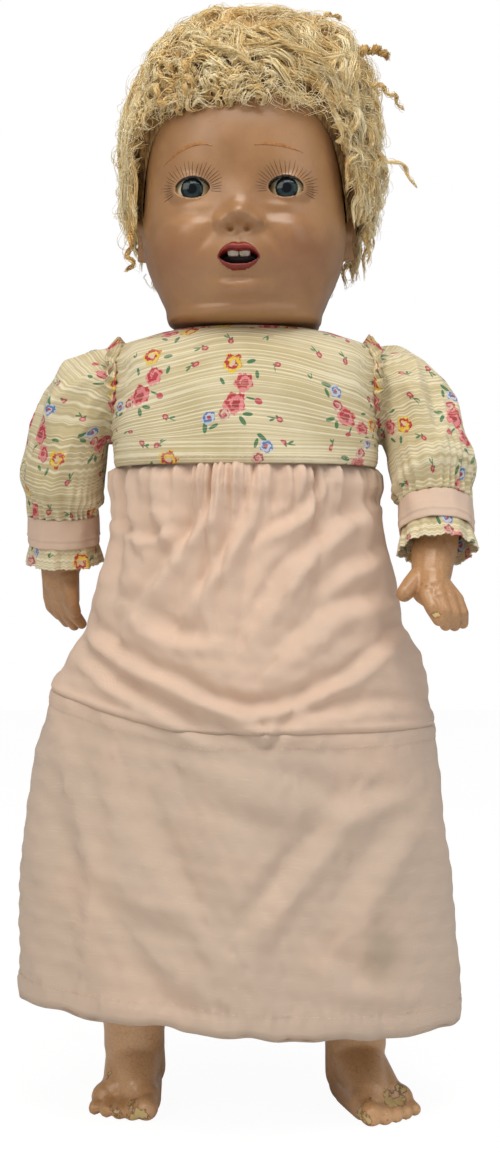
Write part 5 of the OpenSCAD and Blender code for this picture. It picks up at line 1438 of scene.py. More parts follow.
# Folds in the front, as x and z in mm along each: gathers that fan out, drag lines at the hips
FRONT_FOLDS = [
    ([(-14, 374), (-22, 350), (-44, 322), (-70, 286)], 6.5, 5.2),
    ([(6, 372), (0, 345), (-14, 322), (-38, 292)], 6, 4.2), ([(44, 368), (32, 350), (8, 336)], 5, 4.0),
    ([(74, 356), (50, 342), (26, 318), (4, 284)], 7.5, 4.8),
    ([(-74, 346), (-60, 338), (-42, 342)], 5, -3.6), ([(-48, 378), (-52, 352), (-42, 326)], 5, 3.4),
    ([(-64, 378), (-68, 350), (-60, 330)], 4.5, 3.0), ([(60, 378), (64, 356), (72, 330)], 5, 3.4),
    ([(84, 302), (52, 296), (22, 270)], 9, 4.4), ([(-66, 298), (-40, 282), (-20, 281)], 8, -4.2),
    ([(88, 330), (60, 320), (40, 300)], 7, 3.2),
    ([(-98, 292), (-74, 272), (-40, 257), (-16, 246), (4, 241), (30, 246), (64, 262), (96, 288)], 6, -5.6),
    ([(-102, 276), (-76, 256), (-44, 240), (-18, 224)], 6, -4.6),
    ([(8, 230), (34, 238), (70, 243), (106, 242)], 7, -3.2),
    ([(-20, 240), (-4, 232), (12, 224), (22, 236)], 5, 3.4),
    ([(-70, 205), (-56, 170), (-34, 136), (-10, 110)], 13, -4.0),
    ([(62, 190), (40, 160), (14, 132), (-2, 112)], 10, 4.0), ([(100, 180), (76, 150), (60, 120)], 12, 3.4),
    ([(-104, 190), (-92, 140), (-96, 96)], 11, 3.2), ([(30, 200), (60, 186), (96, 196)], 9, -3.0),
    ([(-30, 205), (0, 190), (34, 176)], 12, 2.8), ([(40, 110), (64, 90), (96, 84)], 10, -3.2),
    ([(-60, 110), (-40, 88), (-20, 82)], 10, 2.8), ([(-86, 150), (-60, 128), (-30, 124)], 10, 2.6)]


def skirt_points(a, z):
    """The skirt with its gathers, folds and creases."""
    plain = skirt_at(a, z)
    up = ramp(z, 240, 386)
    near_seam = ramp(z, 330, 384) ** 1.3
    wander = 0.7 * np.sin(3 * a + 0.6) + 0.5 * np.sin(7 * a + 2) + 0.9 * (1 - up) * np.sin(2 * a + 1.3)
    coarse = 2 * np.abs(np.sin(8 * a + 2.4 * wander)) - 1
    fine = 2 * np.abs(np.sin(26 * a + 5 * wander)) - 1.2 + 0.4 * np.sin(83 * a + 5 * wander)
    out = 2.7 * up * (coarse - 0.2) + 2.2 * near_seam * fine + 2.6 * np.exp(-((z - 370) / 8) ** 2)
    centre_gap = np.exp(-((plain[..., 0] - 1.5 + (386 - z) * 0.05) / 3.2) ** 2) * ramp(z, 336,
        372) * (np.cos(a) > 0)
    out -= 4.4 * centre_gap
    down = 1 - ramp(z, 150, 260)
    out += down * (2.6 * np.sin(5 * a + 0.9 + 0.004 * z) + 1.6 * np.sin(9 * a + 2.1 - 0.006 * z) - 1.0)
    out += 0.8 * np.sin(a * 13 + z * 0.05) * np.sin(z * 0.043 + 2 * a)
    front = ramp(np.cos(a), 0.02, 0.35)
    for path, wide, high in FRONT_FOLDS:
        out += front * fold(plain[..., 0], z, path, wide, high)
    back = ramp(-np.cos(a), 0.02, 0.35)
    for path, wide, high in FRONT_FOLDS[:11:2] + FRONT_FOLDS[13:19]:
        out += 0.8 * back * fold(-plain[..., 0] + 6, z + 5, path, wide * 1.2, high)
    crease = np.sin(0.21 * plain[..., 0] + 0.33 * z + 2.2 * np.sin(0.05 * z)) * np.sin(0.13 * plain[...,
        0] - 0.17 * z)
    out += 0.5 * crease + 0.3 * np.sin(0.5 * plain[..., 0] + 0.4 * np.sin(0.3 * z) * 3) * np.sin(0.27 * z
        + 0.1 * plain[..., 0])
    under = ramp(z, 377.5, 382)
    return skirt_at(a, z, np.clip(out, -9, 6.5) * (1 - 0.8 * under) - 1.2 - 1.6 * under)


SKIRT_COLUMNS = 384
a_line = (np.arange(SKIRT_COLUMNS) / SKIRT_COLUMNS) * 2 * np.pi
a_line = a_line - 0.12 * np.sin(2 * a_line)


def pink_tones(p):
    """How pink or faded the cloth is, and where it is stained."""
    x, y, z = p[..., 0], p[..., 1], p[..., 2]
    pinker = 0.22 + 0.5 * ramp(z, 190, 290) + 0.22 * np.sin(x * 0.05 + z * 0.02) * np.sin(z * 0.035 + 1)
    spots = [(78, 104, 15, 22, 1.0), (66, 128, 18, 14, 0.6), (88, 236, 7, 7, 0.9), (-62, 300, 10, 9, 0.5),
        (-20, 150, 30, 12, 0.35), (100, 180, 9, 26, 0.5), (-90, 210, 14, 20, 0.4), (12, 96, 26, 8, 0.35),
        (20, 330, 12, 7, 0.35), (-40, 345, 9, 6, 0.4)]
    soiled = sum(s * np.exp(-((x - cx) / w) ** 2 - ((z - cz) / h) ** 2) for cx, cz, w, h, s in spots)
    return np.clip(pinker, 0, 1), np.clip(soiled * np.where(y < 0, 1, 0.7), 0, 1)


def weave(tree, uv, mm):
    """A plain weave of threads so many mm apart, about twice as coarse as the real ones so that it shows."""
    at = add(tree, "ShaderNodeMapping", {"Vector": uv, "Scale": (2 * math.pi * 100 / mm,) * 3}).outputs[0]
    parts = add(tree, "ShaderNodeSeparateXYZ", {0: at}).outputs
    across = maths(tree, "SINE", parts[0])
    along = maths(tree, "SINE", parts[1])
    return maths(tree, "MULTIPLY", across, along)


def pink_cotton(name):
    """Washed cotton: matt, plain weave, pink where less faded, with slubs, rubbed spots and grey stains."""
    made, tree, shader, where = new_material(name)
    uv = add(tree, "ShaderNodeUVMap", uv_map="cut").outputs[0]
    tone = painted(tree, "pinker")
    soil = painted(tree, "soiled")
    cloud = between(tree, noise(tree, where, 38, 4, 0.6), 0.35, 0.65, -0.22, 0.22)
    share = maths(tree, "ADD", tone, cloud)
    colour = mix(tree, between(tree, share, 0.1, 0.9), tint("#d2bdab"), tint("#e2c6b1"))
    slub = add(tree, "ShaderNodeTexNoise", {"Vector": add(tree, "ShaderNodeMapping",
        {"Vector": uv, "Scale": (7, 90, 1)}).outputs[0], "Scale": 1.0, "Detail": 3.0}).outputs["Fac"]
    colour = mix(tree, between(tree, slub, 0.55, 0.75, 0, 0.22), colour, tint("#efdfcb"))
    fleck = between(tree, noise(tree, where, 5, 4, 0.7, seed=6), 0.6, 0.76, 0, 0.5)
    colour = mix(tree, fleck, colour, tint("#dcb49b"))
    grey = between(tree, noise(tree, where, 26, 3, 0.5, seed=7), 0.3, 0.75)
    grey = maths(tree, "MULTIPLY", grey, soil)
    colour = mix(tree, between(tree, grey, 0.1, 0.9, 0, 0.5), colour, tint("#a3967f"))
    threads = weave(tree, uv, 1.1)
    colour = mix(tree, between(tree, threads, -1, 1, 0.14, 0.0), colour, tint("#b98f78"))
    woven = relief(tree, maths(tree, "ADD", threads, slub), 0.32, 0.00035)
    coat(tree, shader, colour, 0.88, relief(tree, noise(tree, where, 15, 4, 0.6, seed=4), 0.4, 0.0022, woven))
    shader.inputs["Sheen Weight"].default_value = 0.12
    return made


gown_cloth = pink_cotton("washed_pink_cotton")
grid_a = np.tile(a_line, (76, 1))
share = np.linspace(0, 1, 76)[:, None] ** 1.2
tuck = tuck_at(grid_a)
z = tuck - 2.0 + (386.5 - tuck + 2.0) * share
upper = skirt_points(grid_a, z)
lift = np.exp(-((z - tuck) / 3.0) ** 2)
upper[..., :2] += lift[..., None] * 2.4 * np.stack([np.sin(grid_a), -np.cos(grid_a)], -1)
# The lowest rows turn under and run up behind, as the fold of the tuck does
for j, (inward, rise) in enumerate([(3.6, 5.0), (2.8, 2.4), (1.4, 0.6)]):
    upper[j, :, 0] -= inward * np.sin(grid_a[j])
    upper[j, :, 1] += inward * np.cos(grid_a[j])
    upper[j, :, 2] = tuck[j] - 2.2 + rise
_, v = lengths(upper)
u = grid_a / (2 * np.pi) * 720
pinker, soiled = pink_tones(upper)
skirt_upper = cloth("gown_skirt_upper", upper, u, v + 200, closed=True, pinker=np.clip(pinker + 0.15, 0, 1),
    soiled=soiled)
skirt_upper.data.materials.append(gown_cloth)

grid_a = np.tile(a_line, (66, 1))
share = np.linspace(0, 1, 66)[:, None]
hem, tuck = hem_at(grid_a), tuck_at(grid_a)
hem = hem + 0.9 * np.sin(11 * grid_a + 1) + 0.5 * np.sin(23 * grid_a)
z = hem + (tuck + 5 - hem) * share
lower = skirt_points(grid_a, z)
inset = ramp(z, tuck - 1, tuck + 2) * 2.6
belly = np.exp(-((z - tuck + 5) / 4.0) ** 2) * 1.3
hem_band = ramp(hem + 13.5 - z, 0, 1.5) * 0.9
pucker = 0.5 * np.sin(90 * grid_a + 3 * np.sin(9 * grid_a)) * np.exp(-((z - hem - 12.5) / 3) ** 2)
out = belly - inset + hem_band + pucker
lower[..., 0] += out * np.sin(grid_a)
lower[..., 1] -= out * np.cos(grid_a)
for j, (inward, rise) in enumerate([(1.5, 1.2), (0.8, 0.3)]):
    lower[j, :, 0] -= inward * np.sin(grid_a[j])
    lower[j, :, 1] += inward * np.cos(grid_a[j])
    lower[j, :, 2] = hem[j] + rise
_, v = lengths(lower)
u = grid_a / (2 * np.pi) * 720
pinker, soiled = pink_tones(lower)
edge = np.exp(-((z - hem) / 2.5) ** 2)
skirt_lower = cloth("gown_skirt_lower", lower, u, v, closed=True, pinker=np.clip(pinker + 0.3 * edge, 0, 1),
    soiled=soiled)
skirt_lower.data.materials.append(gown_cloth)
for piece in (skirt_upper, skirt_lower):
    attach(piece, "torso")
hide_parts("skirt")

# ---- Yoke of the gown --------------------------------------------------------------------------
# A front and two back pieces of thin cream cotton, joined at the shoulders. Thick slub cords run
# across the cloth, and it is printed with small roses, buds and leaves in three or four colours.
BODICE_FORM = np.array([[0, .965, 1], [.3, .985, .98], [.56, 1, .94], [.78, .995, .87], [.92, .9, .76],
    [1, .66, .655]])


def shape_over(tree, place, x, y, wide, high, turned_by=0.0):
    """Distance from the middle of an oval in the print, 1 at its edge, and the direction round it."""
    at = add(tree, "ShaderNodeMapping", {"Vector": place, "Location": (x, y, 0),
        "Rotation": (0, 0, turned_by), "Scale": (wide, high, 1)}, vector_type="TEXTURE").outputs[0]
    flat = add(tree, "ShaderNodeVectorMath", {0: at, 1: (1, 1, 0)}, operation="MULTIPLY").outputs[0]
    far = add(tree, "ShaderNodeVectorMath", {0: flat}, operation="LENGTH").outputs["Value"]
    parts = add(tree, "ShaderNodeSeparateXYZ", {0: flat}).outputs
    return far, maths(tree, "ARCTAN2", parts[1], parts[0])


def rose(tree, colour, place, x, y, size, petals, heart, shade, blur):
    """A small printed rose: broken petal arcs round a heart, with the ink a little ragged."""
    far, way = shape_over(tree, place, x, y, size, size)
    far = maths(tree, "ADD", far, blur)
    five = maths(tree, "SINE", maths(tree, "MULTIPLY", way, 5.0), 0.12)
    edge = maths(tree, "MULTIPLY_ADD", five, 0.09, far)
    colour = mix(tree, between(tree, edge, 0.92, 1.0, 1, 0), colour, tint(shade))
    swirl = maths(tree, "MULTIPLY_ADD", far, 9.0, way)
    arcs = maths(tree, "SINE", swirl)
    inked = maths(tree, "MULTIPLY", between(tree, arcs, -0.15, 0.15), between(tree, edge, 0.86, 0.95, 1, 0))
    colour = mix(tree, inked, colour, tint(petals))
    return mix(tree, between(tree, far, 0.26, 0.34, 1, 0), colour, tint(heart))


def leaf(tree, colour, place, x, y, wide, high, turned_by):
    """A printed leaf or stalk, as a green oval."""
    far, _ = shape_over(tree, place, x, y, wide, high, turned_by)
    return mix(tree, between(tree, far, 0.85, 1.0, 1, 0), colour, tint("#3a7a52"))


def sown(tree, uv, shift, density, spread, size, channel, spin):
    """The print's own coordinates round the nearest of many sprigs, each at its own place and angle."""
    place = add(tree, "ShaderNodeMapping", {"Vector": uv, "Location": shift,
        "Scale": (density, density, 1)}).outputs[0]
    cell = add(tree, "ShaderNodeTexVoronoi", {"Vector": place, "Scale": 1.0, "Randomness": spread},
        voronoi_dimensions="2D")
    local = add(tree, "ShaderNodeVectorMath", {0: place, 1: cell.outputs["Position"]},
        operation="SUBTRACT").outputs[0]
    local = add(tree, "ShaderNodeVectorMath", {0: local, "Scale": size}, operation="SCALE").outputs[0]
    luck = add(tree, "ShaderNodeSeparateColor", {0: cell.outputs["Color"]}).outputs[channel]
    return add(tree, "ShaderNodeVectorRotate", {"Vector": local,
        "Angle": between(tree, luck, 0, 1, -spin, spin)}, rotation_type="Z_AXIS").outputs[0]


def printed_cotton(name):
    """Thin cream cotton with slub cords every 2 to 3 mm and a sprig print in matt, slightly faded inks."""
    made, tree, shader, where = new_material(name)
    uv = add(tree, "ShaderNodeUVMap", uv_map="cut").outputs[0]
    base = mix(tree, between(tree, noise(tree, where, 26, 3), 0.35, 0.65), tint("#d4c498"), tint("#e4d7b2"))
    cord = add(tree, "ShaderNodeTexNoise", {"Vector": add(tree, "ShaderNodeMapping",
        {"Vector": uv, "Scale": (0.35, 82, 1)}).outputs[0], "Scale": 1.0, "Detail": 0.6}).outputs["Fac"]
    # The cords are light slub thread, made lighter still as painted highlight on their ridges, and the bands
    # between them are darkened as painted shade.
    cords = between(tree, cord, 0.52, 0.60)
    base = mix(tree, between(tree, cord, 0.34, 0.46, 0.34, 0.0), base, tint("#a8966a"))
    base = mix(tree, between(tree, cords, 0, 1, 0, 0.6), base, tint("#fbf3da"))
    local = sown(tree, uv, (0.18, 0.06, 0), 1.7, 0.42, 45.0, 0, 1.3)
    blur = between(tree, noise(tree, where, 1.3, 2, seed=2), 0.3, 0.7, -0.13, 0.13)
    colour = base
    for x, y, wide, high, spin in ((-17, 6, 3.0, 1.1, 0.4), (-15.4, 2.6, 2.4, 0.9, -0.7),
            (-8.5, -8.2, 2.6, 1.1, 1.0), (-4.8, -9.0, 2.4, 1.0, 2.0), (17.5, -0.6, 2.2, 1.0, -0.8),
            (13.2, -5.4, 2.0, 0.9, 0.5), (2.2, -7.6, 0.5, 2.6, 0.2), (4.5, 7.4, 2.0, 0.8, 0.9)):
        colour = leaf(tree, colour, local, x, y, wide, high, spin)
    colour = rose(tree, colour, local, -12.4, 6.2, 3.1, "#4c79bd", "#b0304a", "#c9cfe0", blur)
    colour = rose(tree, colour, local, 13.6, 6.4, 4.4, "#bf1d38", "#e8c9b0", "#efcb2a", blur)
    colour = rose(tree, colour, local, -9.0, 0.6, 2.9, "#b02a40", "#e27884", "#dcc0b0", blur)
    colour = rose(tree, colour, local, 7.4, -1.6, 4.3, "#bf1d38", "#c23a4c", "#ea8d96", blur)
    colour = rose(tree, colour, local, -2.6, -1.8, 5.0, "#bf1d38", "#a82038", "#e8858f", blur)
    far, _ = shape_over(tree, local, 2.6, -10.8, 1.5, 1.9)
    colour = mix(tree, between(tree, far, 0.85, 1, 1, 0), colour, tint("#c9485a"))
    # Single buds fill the ground between the garlands
    around, _ = shape_over(tree, local, 0, -1, 25, 16)
    bud = sown(tree, uv, (0.4, 0.9, 0), 4.6, 0.7, 17.5, 1, 3.1)
    sprig = leaf(tree, base, bud, 3.2, 0.2, 3.0, 0.34, 0.12)
    sprig = leaf(tree, sprig, bud, 3.4, 1.3, 1.5, 0.6, 0.7)
    sprig = leaf(tree, sprig, bud, 1.3, -0.8, 1.1, 0.6, -0.6)
    far, _ = shape_over(tree, bud, 0, 0, 1.8, 1.45)
    far = maths(tree, "ADD", far, blur)
    sprig = mix(tree, between(tree, far, 0.85, 1, 1, 0), sprig, tint("#b83448"))
    sprig = mix(tree, between(tree, far, 0.35, 0.5, 1, 0), sprig, tint("#dd8a90"))
    colour = mix(tree, between(tree, around, 0.98, 1.0), colour, sprig)
    # The cords show again over the print: light thread with painted highlight.
    colour = mix(tree, between(tree, cords, 0, 1, 0, 0.22), colour, tint("#fbf3da"))
    faded = between(tree, noise(tree, where, 6, 4, 0.7, seed=5), 0.5, 0.75, 0.0, 0.2)
    colour = mix(tree, faded, colour, tint("#ddd3b0"))
    threads = weave(tree, uv, 0.95)
    colour = mix(tree, between(tree, threads, -1, 1, 0.2, 0.0), colour, tint("#a39a72"))
    woven = relief(tree, maths(tree, "MULTIPLY_ADD", cords, 1.6, threads), 0.4, 0.0004)
    coat(tree, shader, colour, 0.85, relief(tree, noise(tree, where, 12, 4, 0.6, seed=4), 0.35, 0.0018,
        woven))
    shader.inputs["Sheen Weight"].default_value = 0.1
    return made


print_cloth = printed_cotton("printed_slub_cotton")


def yoke_half(sign):
    """Front (sign 1) or back (sign -1) of the yoke, cut round the armholes."""
    f = np.concatenate([np.linspace(-0.012, 0.14, 8), np.linspace(0.15, 0.24, 11),
        np.linspace(0.26, 0.86, 32), np.linspace(0.87, 0.96, 12), np.linspace(0.967, 0.997, 5)])
    zs = 381 + 79.5 * f
    n_a = 150
    out = np.zeros((len(zs), n_a, 3))
    for j, (g, zz) in enumerate(zip(f, zs)):
        w = 81 * np.interp(g, BODICE_FORM[:, 0], BODICE_FORM[:, 1]) + 0.5
        d = 62 * np.interp(g, BODICE_FORM[:, 0], BODICE_FORM[:, 2]) + 0.5
        n = 2.9 - 0.7 * max(0, g) ** 2
        fine = np.linspace(0, math.pi / 2, 400)
        r = ((np.sin(fine) / w) ** n + (np.cos(fine) / d) ** n) ** (-1 / n)
        ys = r * np.cos(fine)
        hole = 30.2 ** 2 - (zz - 424) ** 2
        stop = fine[-1] if hole <= 0 else fine[np.argmin(np.abs(ys - math.sqrt(hole)))]
        a = np.linspace(-stop, stop, n_a)
        r = ((np.abs(np.sin(a)) / w) ** n + (np.cos(a) / d) ** n) ** (-1 / n)
        x = r * np.sin(a)
        near_hole = np.exp(-((np.abs(a) - stop) / 0.26) ** 2) * (0.35 + 0.65 * (hole > 0))
        ruck = 0.7 * near_hole * np.sin(zz * 1.5 + 2 * np.sin(zz * 0.4) + 0.25 * np.abs(x)) + 0.5 * np.sin(x
            * 0.1 + zz * 0.13)
        ruck += 0.35 * np.exp(-g * 12) * np.sin(x * 0.9 + 1.7 * np.sin(x * 0.21))
        ruck += 0.7 * np.sin(zz * 0.12 + 0.02 * x) * np.exp(-((x - 28 * sign) / 30) ** 2)
        rr = r + ruck - 1.3 * np.exp(-((g + 0.012) / 0.018) ** 2)
        out[j] = np.stack([rr * np.sin(a), -sign * rr * np.cos(a), np.full(n_a, zz)], -1)
    if sign < 0:
        out = out[:, ::-1]
    return out


yoke = {}
for label, sign in (("front", 1), ("back", -1)):
    p = yoke_half(sign)
    u, v = lengths(p)
    u = u - u[:, [75]]
    yoke[label] = cloth(f"gown_yoke_{label}", p, u + (0 if sign > 0 else 240), v + 20, wall=0.6)
    yoke[label].data.materials.append(print_cloth)
    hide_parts(f"bodice_{label}")
    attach(yoke[label], "torso")

# ---- Sleeves, cuffs and wrist frills -------------------------------------------------------------
# Puffed sleeves of the same print, gathered into the armhole and into a cuff band of the pink
# cotton with a narrow tuck, which ends in a frayed frill of the print.
SLEEVE_FORM = np.array([[0, -30, 0, 30, 30], [6.8, -30.2, 6.8, 30.2, 30.2], [7.2, -35, 20, 28, 33],
    [7.4, -41, 34, 20, 34.5], [7.6, -48, 45, 6, 34.5], [8.2, -55, 52, -14, 34], [9.4, -61, 57, -34, 32.5],
    [11, -66, 60.5, -51, 30], [14.6, -72, 56.6, -72, 21.4]])
hinge_z = 424.0


def sleeve_points(rows, columns, rng):
    """The sleeve's rings with gathers at both ends and soft sags between them."""
    stations = np.linspace(0, 1, len(SLEEVE_FORM))
    q = np.linspace(0, 1, rows) ** 0.92
    ring = np.stack([np.interp(q, stations, SLEEVE_FORM[:, k]) for k in range(5)], -1)
    for _ in range(3):
        ring[1:-1] = 0.25 * ring[:-2] + 0.5 * ring[1:-1] + 0.25 * ring[2:]
    b = np.arange(columns) / columns * 2 * np.pi
    bb, qq = np.meshgrid(b, q)
    inner = np.stack([ring[:, 0], 0 * q, ring[:, 1]], -1)
    outer = np.stack([ring[:, 2], 0 * q, ring[:, 3]], -1)
    mid, half = (inner + outer) / 2, (outer - inner) / 2
    p = mid[:, None] + half[:, None] * np.cos(bb)[..., None]
    p[..., 1] += ring[:, 4][:, None] * np.sin(bb)
    away = p - mid[:, None]
    away /= np.linalg.norm(away, axis=2, keepdims=True)
    phase = rng.uniform(0, 6, 6)
    wander = 1.1 * np.sin(2 * bb + phase[0]) + 0.6 * np.sin(5 * bb + phase[1])
    head_end, cuff_end = np.exp(-(qq / 0.16) ** 1.5), np.exp(-((1 - qq) / 0.2) ** 1.5)
    out = 0.7 * head_end * np.sin(31 * bb + 3 * wander) + 0.3 * head_end * np.sin(61 * bb)
    out += 1.5 * cuff_end * (np.sin(25 * bb + 3 * wander) - 0.2)
    body_side = ramp(-np.cos(bb), -0.2, 0.5)
    middle = np.sin(math.pi * qq) ** 0.8
    out += middle * (1 - 0.8 * body_side) * (1.7 * np.sin(5 * bb + 5 * qq + phase[2]) + 1.5
        * (1 - 2 * np.abs(np.sin(4 * bb - 3 * qq + phase[3]))) + 1.3
        * (1 - 2 * np.abs(np.sin(2 * bb + 9 * qq + phase[4]))) + 0.5 * np.sin(13 * bb + 22 * qq + phase[5]))
    out += 1.6 * np.exp(-((qq - 0.82) / 0.07) ** 2) - 1.4 * np.exp(-((qq - 0.93) / 0.04) ** 2)
    out -= body_side * (2.6 * middle + 1.6 * head_end)
    p = p + away * out[..., None]
    x = 76 + p[..., 0]
    return np.stack([x, p[..., 1], hinge_z + p[..., 2]], -1)


def round_cloth(name, p, side, uv_start, wall=0.6, **paints):
    """A tube of cloth on an arm, turned with the arm and facing outwards on both sides."""
    if side < 0:
        p = p[:, ::-1]
    p = on_arm(p.reshape(-1, 3), "left" if side > 0 else "right").reshape(p.shape)
    u, v = lengths(p)
    row = u[len(u) // 2] + uv_start
    u = np.tile(row, (p.shape[0], 1))
    paints = {k: w if side > 0 else w[:, ::-1] for k, w in paints.items()}
    return cloth(name, p, u, v + uv_start * 0.4, closed=True, wall=wall, **paints)


def wrist_rings(zs, radii, columns, waves):
    """Rings round the wrist in mm before the arm's turn: heights, radii and a wave for each point."""
    b = np.arange(columns) / columns * 2 * np.pi
    r = np.asarray(radii)[:, None] + waves(b[None, :], np.asarray(zs)[:, None])
    return np.stack([111.6 + r * np.cos(b), r * np.sin(b), np.asarray(zs)[:, None] + 0 * r], -1)


for side, label in ((-1, "right"), (1, "left")):
    rng = np.random.default_rng(5 if side < 0 else 8)
    body = f"arm_{label}"
    p = sleeve_points(80, 220, rng)
    sleeve = round_cloth(f"gown_sleeve_{label}", p[::-1], side, 330 if side < 0 else 480)
    sleeve.data.materials.append(print_cloth)
    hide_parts(f"sleeve_{label}")

    ph = rng.uniform(0, 6, 4)
    zs = np.concatenate([[335.6, 334.4, 334.0], np.linspace(334.2, 351.6, 22), [352.2, 352.0]])
    rad = np.concatenate([[20.0, 20.6, 21.4], np.linspace(21.9, 21.7, 22), [21.2, 20.6]])
    rad = rad + 0.45 * np.exp(-((zs - 339.5) / 0.7) ** 2) - 0.35 * np.exp(-((zs - 338.2) / 0.6) ** 2)
    p = wrist_rings(zs, rad, 180, lambda b, z: 0.35 * np.sin(6 * b + ph[0] + 0.2 * z) + 0.25
        * np.sin(11 * b + ph[1]) - 0.3 * np.exp(-((np.mod(b + ph[2], 2 * np.pi) - 3.1) / 0.05) ** 2))
    tone = 0.75 + 0.15 * np.sin(p[..., 2] * 0.3 + p[..., 0] * 0.1)
    band = round_cloth(f"gown_cuff_band_{label}", p, side, 0, pinker=tone, soiled=0.25 + 0 * tone)
    band.data.materials.append(gown_cloth)
    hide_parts(f"cuff_band_{label}")

    zs = np.concatenate([np.linspace(321.6, 334.5, 18), [335.5]])
    flare = np.interp(zs, [321.6, 326, 331, 334.5, 335.5], [23.4, 23.0, 21.9, 21.2, 20.6])

    def ruffle(b, z):
        """How far the frill waves in or out round the wrist."""
        amount = np.interp(z, [321.6, 334.5], [1.0, 0.35])
        ragged = 0.25 * np.sin(57 * b + ph[3]) * (z < 322.5)
        return amount * (1.1 * np.sin(6 * b + ph[0]) + 0.9 * np.sin(13 * b + ph[1]) + 0.5
            * np.sin(21 * b)) - 0.8 + ragged

    p = wrist_rings(zs, flare, 240, ruffle)
    p[0, :, 2] += 0.5 * np.sin(41 * np.arange(240) / 240 * 2 * np.pi + ph[2]) + 0.4
    frill = round_cloth(f"gown_cuff_frill_{label}", p, side, 60)
    frill.data.materials.append(print_cloth)
    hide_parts(f"cuff_frill_{label}")
    for piece, slot in ((sleeve, "print_cotton"), (band, "pink_cotton"), (frill, "print_cotton")):
        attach(piece, body)

# ---- Seams, neck binding and shoulder frills ---------------------------------------------------------
# Machine stitches hold the tuck, the hem and the yoke seam. The neck is bound with a strip
# of the print, and a narrow gathered frill stands up round each armhole.


def stitch_tree():
    """Geometry Nodes: a short stitch of thread at even steps along every path of a mesh."""
    tree, start = group_with("stitches_along_seams", "Stitches", Seams="Geometry", Pitch="Float",
        Radius="Float", Length="Float", Thread="Material")
    curves = add(tree, "GeometryNodeMeshToCurve", {0: start[0]}).outputs[0]
    spots = add(tree, "GeometryNodeCurveToPoints", {"Curve": curves, "Length": start[1]},
        mode="LENGTH").outputs
    bead = add(tree, "GeometryNodeMeshUVSphere", {"Segments": 6, "Rings": 4, "Radius": 1.0}).outputs[0]
    half = maths(tree, "MULTIPLY", start[3], 0.5)
    size = add(tree, "ShaderNodeCombineXYZ", {0: start[2], 1: start[2], 2: half}).outputs[0]
    placed = add(tree, "GeometryNodeInstanceOnPoints", {"Points": spots[0], "Instance": bead,
        "Rotation": spots["Rotation"], "Scale": size}).outputs[0]
    return closed_group(tree, placed, start[4])


stitches_along_seams = stitch_tree()


def stitched(name, seams, material, body, pitch, long):
    """One piece of all the stitches along some seams, each a list of points in mm."""
    points, lines = [], []
    for seam in seams:
        base = len(points)
        points += list(seam)
        lines += [(base + k, base + k + 1) for k in range(len(seam) - 1)]
    holder = put(name + "_paths", points, [], smooth=False, edges=lines)
    made = along_paths(name, holder, stitches_along_seams, {"Pitch": pitch / 1000, "Radius": 0.00022,
        "Length": long / 1000, "Thread": material})
    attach(made, body)
    return made


thread = surface("cotton_thread", "#d3b39c", "#e9d2bd", 1.2, 0.75, dirt="#a98a72")


def surface_path(piece, ways, reach=0.35):
    """Points in mm where level rays from outside, each an angle from the front and a height, meet a piece."""
    work = bmesh.new()
    work.from_mesh(piece.data)
    tree = BVHTree.FromBMesh(work)
    work.free()
    out = []
    for a, z in ways:
        d = Vector((math.sin(a), -math.cos(a), 0))
        hit, normal, _, _ = tree.ray_cast(d * reach + Vector((0, 0, z / 1000)), -d, reach)
        if hit is not None:
            out.append(np.array(hit + normal * 0.00015) * 1000)
    return out


ring = np.linspace(0, 2 * np.pi, 361)
tuck_row = surface_path(skirt_lower, [(a, tuck_at(a) - 9.5) for a in ring])
hem_row = surface_path(skirt_lower, [(a, hem_at(a) + 13.2) for a in ring])
stitched("skirt_stitches", [tuck_row, hem_row], thread, "torso", 3.1, 2.3)
front_row = surface_path(yoke["front"], [(a, 383.6) for a in np.linspace(-1.5, 1.5, 160)])
back_row = surface_path(yoke["back"], [(a, 383.6) for a in np.linspace(1.65, 4.63, 160)])
stitched("yoke_stitches", [front_row, back_row], thread, "torso", 2.6, 1.9)


def ribbon(name, path, across, rows, wave):
    """A strip of cloth that stands off a path by a vector at each point, with a wave at its free edge."""
    along = unit(np.gradient(path, axis=0))
    third = unit(np.cross(along, across))
    out = []
    for j in range(rows):
        q = j / (rows - 1)
        out.append(path + across * q + third * (wave * (0.15 + 0.85 * q))[:, None])
    p = np.stack(out)
    u, v = lengths(p)
    return cloth(name, p, u, v, wall=0.5)


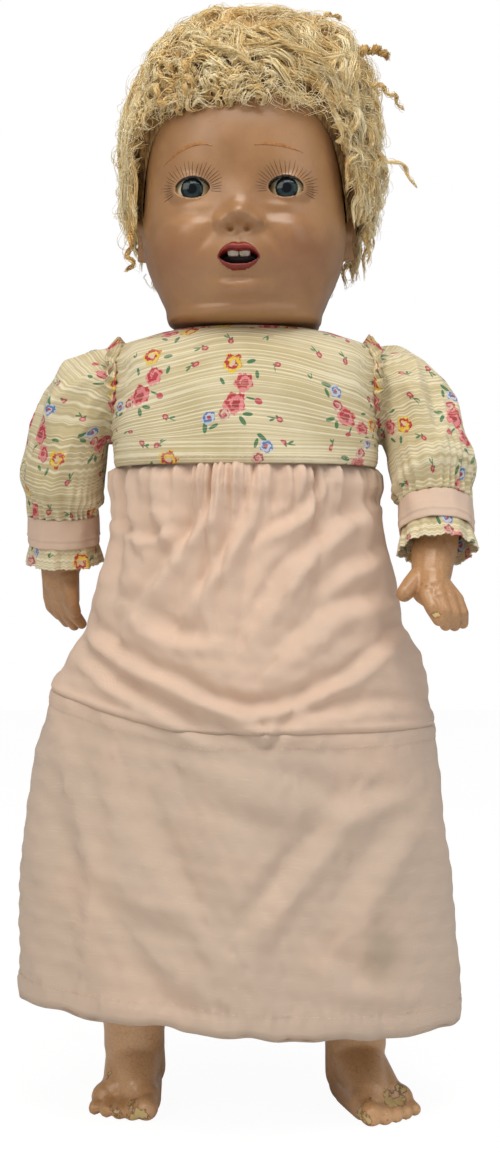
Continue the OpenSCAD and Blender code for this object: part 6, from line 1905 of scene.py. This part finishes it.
for label, s in (("right", -1), ("left", 1)):
    b = np.linspace(math.radians(-32), math.radians(212), 420)
    y, z = -31.0 * np.cos(b), 424 + 31.0 * np.sin(b)
    g = np.clip((z - 381) / 79.5, 0, 1)
    w = 81 * np.interp(g, BODICE_FORM[:, 0], BODICE_FORM[:, 1])
    d = 62 * np.interp(g, BODICE_FORM[:, 0], BODICE_FORM[:, 2])
    n = 2.9 - 0.7 * g ** 2
    x = w * (1 - np.clip(np.abs(y) / d, 0, 0.999) ** n) ** (1 / n)
    path = np.stack([s * (x + 0.6), y, z], -1)
    up = np.stack([0.75 * s + 0 * b, -0.62 * np.cos(b), 0.62 * np.sin(b)], -1)
    up = up / np.linalg.norm(up, axis=1, keepdims=True)
    wave = 1.9 * np.sin(b * 27 + 1.6 * np.sin(5 * b)) + 0.6 * np.sin(b * 61)
    tall = 6.6 * np.clip(np.sin((b - b[0]) / (b[-1] - b[0]) * math.pi) * 2.2, 0.1,
        1) * (1 + 0.12 * np.sin(9 * b))
    frill = ribbon(f"shoulder_frill_{label}", path, up * tall[:, None], 8, wave)
    frill.data.materials.append(print_cloth)
    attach(frill, "torso")

b = np.linspace(0, 2 * np.pi, 240, endpoint=False)
turns = np.linspace(0, 2 * np.pi, 10, endpoint=False)
centre = np.stack([47.0 * np.sin(b), -38.3 * np.cos(b), 460.4 + 0 * b], -1)
away = np.stack([np.sin(b), -np.cos(b), 0 * b], -1)
tube = np.stack([centre + away * 1.25 * math.cos(t) + np.array([0, 0, 1.7 * math.sin(t)]) for t in turns], 1)
faces = [(i * 10 + k, i * 10 + (k + 1) % 10, (i + 1) % 240 * 10 + (k + 1) % 10,
    (i + 1) % 240 * 10 + k) for i in range(240) for k in range(10)]
binding = put("neck_binding", tube.reshape(-1, 3), faces)
outward(binding.data)
layer = binding.data.uv_layers.new(name="cut")
for loop in binding.data.loops:
    i, k = divmod(loop.vertex_index, 10)
    layer.data[loop.index].uv = (i * 1.12 / 100, k * 0.9 / 100)
binding.data.materials.append(print_cloth)
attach(binding, "torso")
